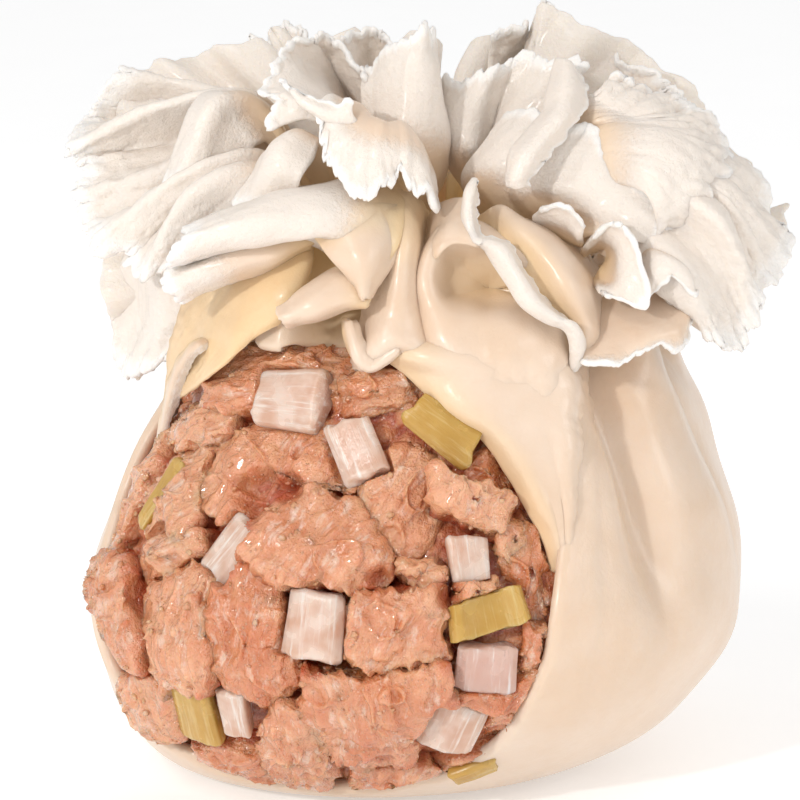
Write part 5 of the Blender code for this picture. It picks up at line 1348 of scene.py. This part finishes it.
def stalk_piece(name, bearing, height, width, length, turn, out, thick, curl):
    """A curved slip with rounded edges, fine ribs along its fibres and slightly uneven ends."""
    frame = surface_frame(bearing, height, turn)
    bend, side = math.radians(abs(curl)), math.copysign(1, curl)
    radius = width / bend
    angle = 2 * math.pi * np.arange(SIDES) / SIDES
    squared = [np.sign(f(angle)) * np.abs(f(angle)) ** 0.4 for f in (np.cos, np.sin)]
    middle = np.linspace(-0.88, 0.88, STATIONS - 6)
    along = np.concatenate([[-1, -0.985, -0.95], middle, [0.95, 0.985, 1]])
    points, strips = [], []
    skew = 2.2 * grain(np.array([[bearing, height, 1], [height, bearing, 2]]), 3.1)
    for y in along:
        inset = 1 - 0.14 * smooth(0.9, 1.0, abs(y)) ** 2
        across, deep = squared[0] * inset, squared[1] * (1 - (1 - inset) * 1.8)
        sample = np.stack([across * width / 2, np.full(SIDES, y * length / 2), deep * thick / 2], -1)
        seed = len(name) + bearing
        ribs = 0.035 * np.sin(across * width * 5.2 + seed)
        ribs += 0.05 * grain(sample * [1, 0.15, 0.6], 0.5, seed)
        level = out - thick / 2 + deep * (thick / 2) + ribs * np.sign(deep)
        level += 0.08 * grain(sample, 1.6, seed)
        spin = across * bend / 2
        reach = radius + side * (level - out)
        x = reach * np.sin(spin) * (1 + 0.1 * y * skew[0]) + 0.07 * width * y * skew[1]
        z = side * (reach * np.cos(spin) - radius) + out
        end = 0.4 * abs(y) ** 6 * grain(sample * [1, 0, 1], 0.9, seed + 1) * np.sign(y)
        place = np.stack([x, sample[:, 1] + end, z, np.ones(SIDES)], -1) @ np.array(frame).T
        points.append(place[:, :3])
        strips.append(np.stack([across, np.full(SIDES, y), deep], -1))
    faces = []
    for row in range(len(along) - 1):
        for k in range(SIDES):
            a, b = row * SIDES + k, row * SIDES + (k + 1) % SIDES
            faces += [(a, b + SIDES, b), (a, a + SIDES, b + SIDES)]
    ends = [points[0].mean(axis=0), points[-1].mean(axis=0)]
    marks = [np.array([0, -1, 0]), np.array([0, 1, 0])]
    first, last = len(along) * SIDES, (len(along) - 1) * SIDES
    for k in range(SIDES):
        after = (k + 1) % SIDES
        faces += [(first, k, after), (first + 1, last + after, last + k)]
    points = np.concatenate(points + [np.array(ends)])
    stripe = np.concatenate(strips + [np.array(marks)]) * [width / 2, length / 2, thick / 2]
    return points, np.array(faces), {"stripe": stripe + 5.0 * (len(name) + bearing)}


def stalk_material(name, clear, fibre_colour, tinge, weight):
    """Cooked scallion: clear flesh with paler fibres along it and a wet skin."""
    material, shader, wire = start_material(name)
    place = wire.node("ShaderNodeTexCoord", output=3)
    stripe = wire.node("ShaderNodeAttribute", {"attribute_name": "stripe"}, output=1)
    run = stripe.node("ShaderNodeVectorMath", {"operation": "MULTIPLY"}, {0: stripe, 1: (1, 0.07, 0.5)})
    fibres = run.node("ShaderNodeTexNoise", None,
                      {"Vector": run, "Scale": 2.6, "Detail": 4.0, "Roughness": 0.7})
    cloud = noise_at(place, 1.7, 2.0)
    base = cloud.between(0.3, 0.75).blend(clear, tinge)
    colour = fibres.between(0.5, 0.72).blend(base, fibre_colour)
    relief = fibres * 0.7 + noise_at(place, 0.3, 2.0) * 0.3
    roughness = 0.18 + cloud * 0.16
    dress(shader, {"Base Color": colour, "Roughness": roughness}, relief, 0.12,
          {"Subsurface Weight": weight, "Subsurface Radius": (1.0, 0.75, 0.6), "Subsurface Scale": 0.0022,
           "IOR": 1.4, "Specular IOR Level": 0.8, "Transmission Weight": 0.1})
    return material


stalk_materials = {
    "white_scallion": stalk_material("white scallion", (0.67, 0.41, 0.295), (0.90, 0.80, 0.73),
                                     (0.83, 0.65, 0.55), 0.5),
    "green_scallion": stalk_material("green scallion", (0.55, 0.315, 0.065), (0.72, 0.51, 0.21),
                                     (0.62, 0.38, 0.10), 0.4),
    "fat": stalk_material("fat", (0.68, 0.42, 0.34), (0.88, 0.76, 0.72), (0.74, 0.50, 0.42), 0.5)}
for row in STALKS:
    node = row[0]
    slot = node.rsplit("_", 1)[0]
    slip = make_piece("slip_" + node, *stalk_piece(*row))
    slip.data.materials.append(stalk_materials[slot])
    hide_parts(node)
    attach(slip, "root")

# ---- Crumbs and juice ---------------------------------------------------------------------------
# Chopping leaves crumbs of meat on the cut pieces, and broth stands on them in beads that catch the
# light. Both are strewn over the part of the filling that the window shows.


def strew(name, ground, number_per_mm2, smallest, largest, flat, seed, material):
    """Small lumps strewn over a piece where its mark "window" is 1, as a mesh object."""
    tree = bpy.data.node_groups.new(name, "GeometryNodeTree")
    tree.interface.new_socket("Ground", in_out="INPUT", socket_type="NodeSocketGeometry")
    for label, kind, value in (("Density", "Float", number_per_mm2 / MM**2),
                               ("Smallest", "Float", smallest), ("Largest", "Float", largest),
                               ("Seed", "Int", seed)):
        socket = tree.interface.new_socket(label, in_out="INPUT", socket_type="NodeSocket" + kind)
        socket.default_value = value
    tree.interface.new_socket("Lumps", in_out="OUTPUT", socket_type="NodeSocketGeometry")
    given = Wire(tree).node("NodeGroupInput")
    inputs = {socket.name: Wire(tree, socket) for socket in given.socket.node.outputs}
    shown = given.node("GeometryNodeInputNamedAttribute", {"data_type": "FLOAT"}, {"Name": "window"})
    thick = inputs["Density"] * shown
    points = given.node("GeometryNodeDistributePointsOnFaces", None,
                        {"Mesh": inputs["Ground"], "Density": thick, "Seed": inputs["Seed"]})
    turn = Wire(tree, points.socket.node.outputs["Rotation"])
    lump = given.node("GeometryNodeMeshIcoSphere", None, {"Radius": MM, "Subdivisions": 1})
    lump = given.node("GeometryNodeTransform", None, {"Geometry": lump, "Scale": (1, 1, flat)})
    size = given.node("FunctionNodeRandomValue", {"data_type": "FLOAT"},
                      {2: inputs["Smallest"], 3: inputs["Largest"], "Seed": inputs["Seed"]}, output=1)
    strewn = given.node("GeometryNodeInstanceOnPoints", None,
                        {"Points": points, "Instance": lump, "Rotation": turn, "Scale": size})
    whole = given.node("GeometryNodeRealizeInstances", None, {"Geometry": strewn})
    dressed = given.node("GeometryNodeSetMaterial", None, {"Geometry": whole, "Material": material})
    tree.links.new(dressed.socket, tree.nodes.new("NodeGroupOutput").inputs["Lumps"])
    carrier = bpy.data.objects.new(name, ground.data)
    bpy.context.scene.collection.objects.link(carrier)
    modifier = carrier.modifiers.new("strewn", "NODES")
    modifier.node_group = tree
    mesh = bpy.data.meshes.new_from_object(carrier.evaluated_get(bpy.context.evaluated_depsgraph_get()))
    carrier.modifiers.remove(modifier)
    bpy.data.objects.remove(carrier)
    points = np.empty(len(mesh.vertices) * 3)
    mesh.vertices.foreach_get("co", points)
    points = points.reshape(-1, 3)
    rough = np.stack([grain(points, 0.45 * MM, axis) for axis in range(3)], -1)
    points += rough * smallest * MM * (2.2 if flat == 1 else 0.15)
    mesh.vertices.foreach_set("co", points.ravel())
    mesh.shade_smooth()
    piece = bpy.data.objects.new(name, mesh)
    bpy.context.scene.collection.objects.link(piece)
    return piece


def juice_material():
    """Beads of clear broth."""
    material, shader, wire = start_material("broth")
    place = wire.node("ShaderNodeTexCoord", output=3)
    cloud = noise_at(place, 2.0, 2.0)
    colour = cloud.blend((0.60, 0.24, 0.12), (0.70, 0.34, 0.20))
    dress(shader, {"Base Color": colour}, cloud, 0.02,
          {"Roughness": 0.03, "IOR": 1.5, "Specular IOR Level": 1.0, "Subsurface Weight": 0.3,
           "Subsurface Radius": (1.0, 0.4, 0.2), "Subsurface Scale": 0.0006})
    return material


crumbs = strew("meat_crumbs", mutton_pieces, number_per_mm2=0.1, smallest=0.1, largest=0.26, flat=1,
               seed=5, material=wet_mutton)
juice = strew("juice_beads", mutton_pieces, number_per_mm2=1.2, smallest=0.05, largest=0.13, flat=0.5,
              seed=9, material=juice_material())
for piece in (crumbs, juice):
    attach(piece, "root")

# ---- Table, light and camera --------------------------------------------------------------------
# A plain white table top in a bright, even room, with one soft light from the front left and above,
# a wider one from the right, and a small bright one low at the front left, which gives the wet meat
# its glints. The camera has a long lens and looks a little down.

LIGHTS = [("window light", -50, 0.42, 0.38, 0.12, 0.34), ("fill light", 60, 0.25, 0.45, 0.2, 0.38),
          ("small bright light", -32, 0.17, 0.36, 0.02, 0.52)]  # bearing, height, distance, size, watts
ROOM_LIGHT = 0.62  # how brightly the room lights the shumai, where 1 is how bright it looks
CAMERA_DISTANCE = 0.303
CAMERA_ELEVATION = 12
CAMERA_SENSOR = 36
VIEW_WIDTH = 0.0544  # that the camera takes in at the shumai
VIEW_MIDDLE = Vector((-0.00122, 0, 0.02478))
SHUMAI_MIDDLE = Vector((0, 0, 0.025))


def table_top():
    material, shader, wire = start_material("white table")
    place = wire.node("ShaderNodeTexCoord", output=3)
    mottle = noise_at(place, 12.0)
    dress(shader, {"Base Color": mottle.blend((0.93, 0.93, 0.93), (0.97, 0.97, 0.97))}, mottle, 0.01,
          {"Roughness": 0.6, "Emission Color": (1, 1, 1, 1), "Emission Strength": 0.33})
    mesh = bpy.data.meshes.new("table_top")
    mesh.from_pydata([(-2, -2, -1e-4), (2, -2, -1e-4), (2, 2, -1e-4), (-2, 2, -1e-4)], [], [(0, 1, 2, 3)])
    mesh.materials.append(material)
    top = bpy.data.objects.new("table_top", mesh)
    bpy.context.scene.collection.objects.link(top)


def soft_light(name, bearing, height, distance, size, watts):
    """A round soft light that faces the middle of the shumai."""
    lamp = bpy.data.lights.new(name, "AREA")
    lamp.shape, lamp.size, lamp.energy = "DISK", size, watts
    light = bpy.data.objects.new(name, lamp)
    place = bearing_direction(bearing) * distance + Vector((0, 0, height))
    light.location = place
    light.rotation_euler = (SHUMAI_MIDDLE - place).to_track_quat("-Z", "Y").to_euler()
    bpy.context.scene.collection.objects.link(light)


table_top()
for row in LIGHTS:
    soft_light(*row)
world = bpy.data.worlds.new("bright room")
world.use_nodes = True
seen = Wire(world.node_tree).node("ShaderNodeLightPath")
background = world.node_tree.nodes["Background"]
brightness = ROOM_LIGHT + seen * (1 - ROOM_LIGHT)
world.node_tree.links.new(brightness.socket, background.inputs["Strength"])
background.inputs["Color"].default_value = (1, 1, 1, 1)
scene = bpy.context.scene
scene.world = world
scene.view_settings.view_transform = "Standard"
scene.cycles.max_bounces, scene.cycles.diffuse_bounces = 4, 2
scene.cycles.glossy_bounces, scene.cycles.transmission_bounces = 2, 2

lens = bpy.data.cameras.new("camera")
lens.sensor_width = CAMERA_SENSOR
lens.lens = CAMERA_SENSOR * CAMERA_DISTANCE / VIEW_WIDTH
lens.clip_start = 0.01
camera = bpy.data.objects.new("camera", lens)
rise = math.radians(CAMERA_ELEVATION)
camera.location = VIEW_MIDDLE + CAMERA_DISTANCE * Vector((0, -math.cos(rise), math.sin(rise)))
camera.rotation_euler = (VIEW_MIDDLE - camera.location).to_track_quat("-Z", "Y").to_euler()
scene.collection.objects.link(camera)
bpy.context.scene.camera = camera
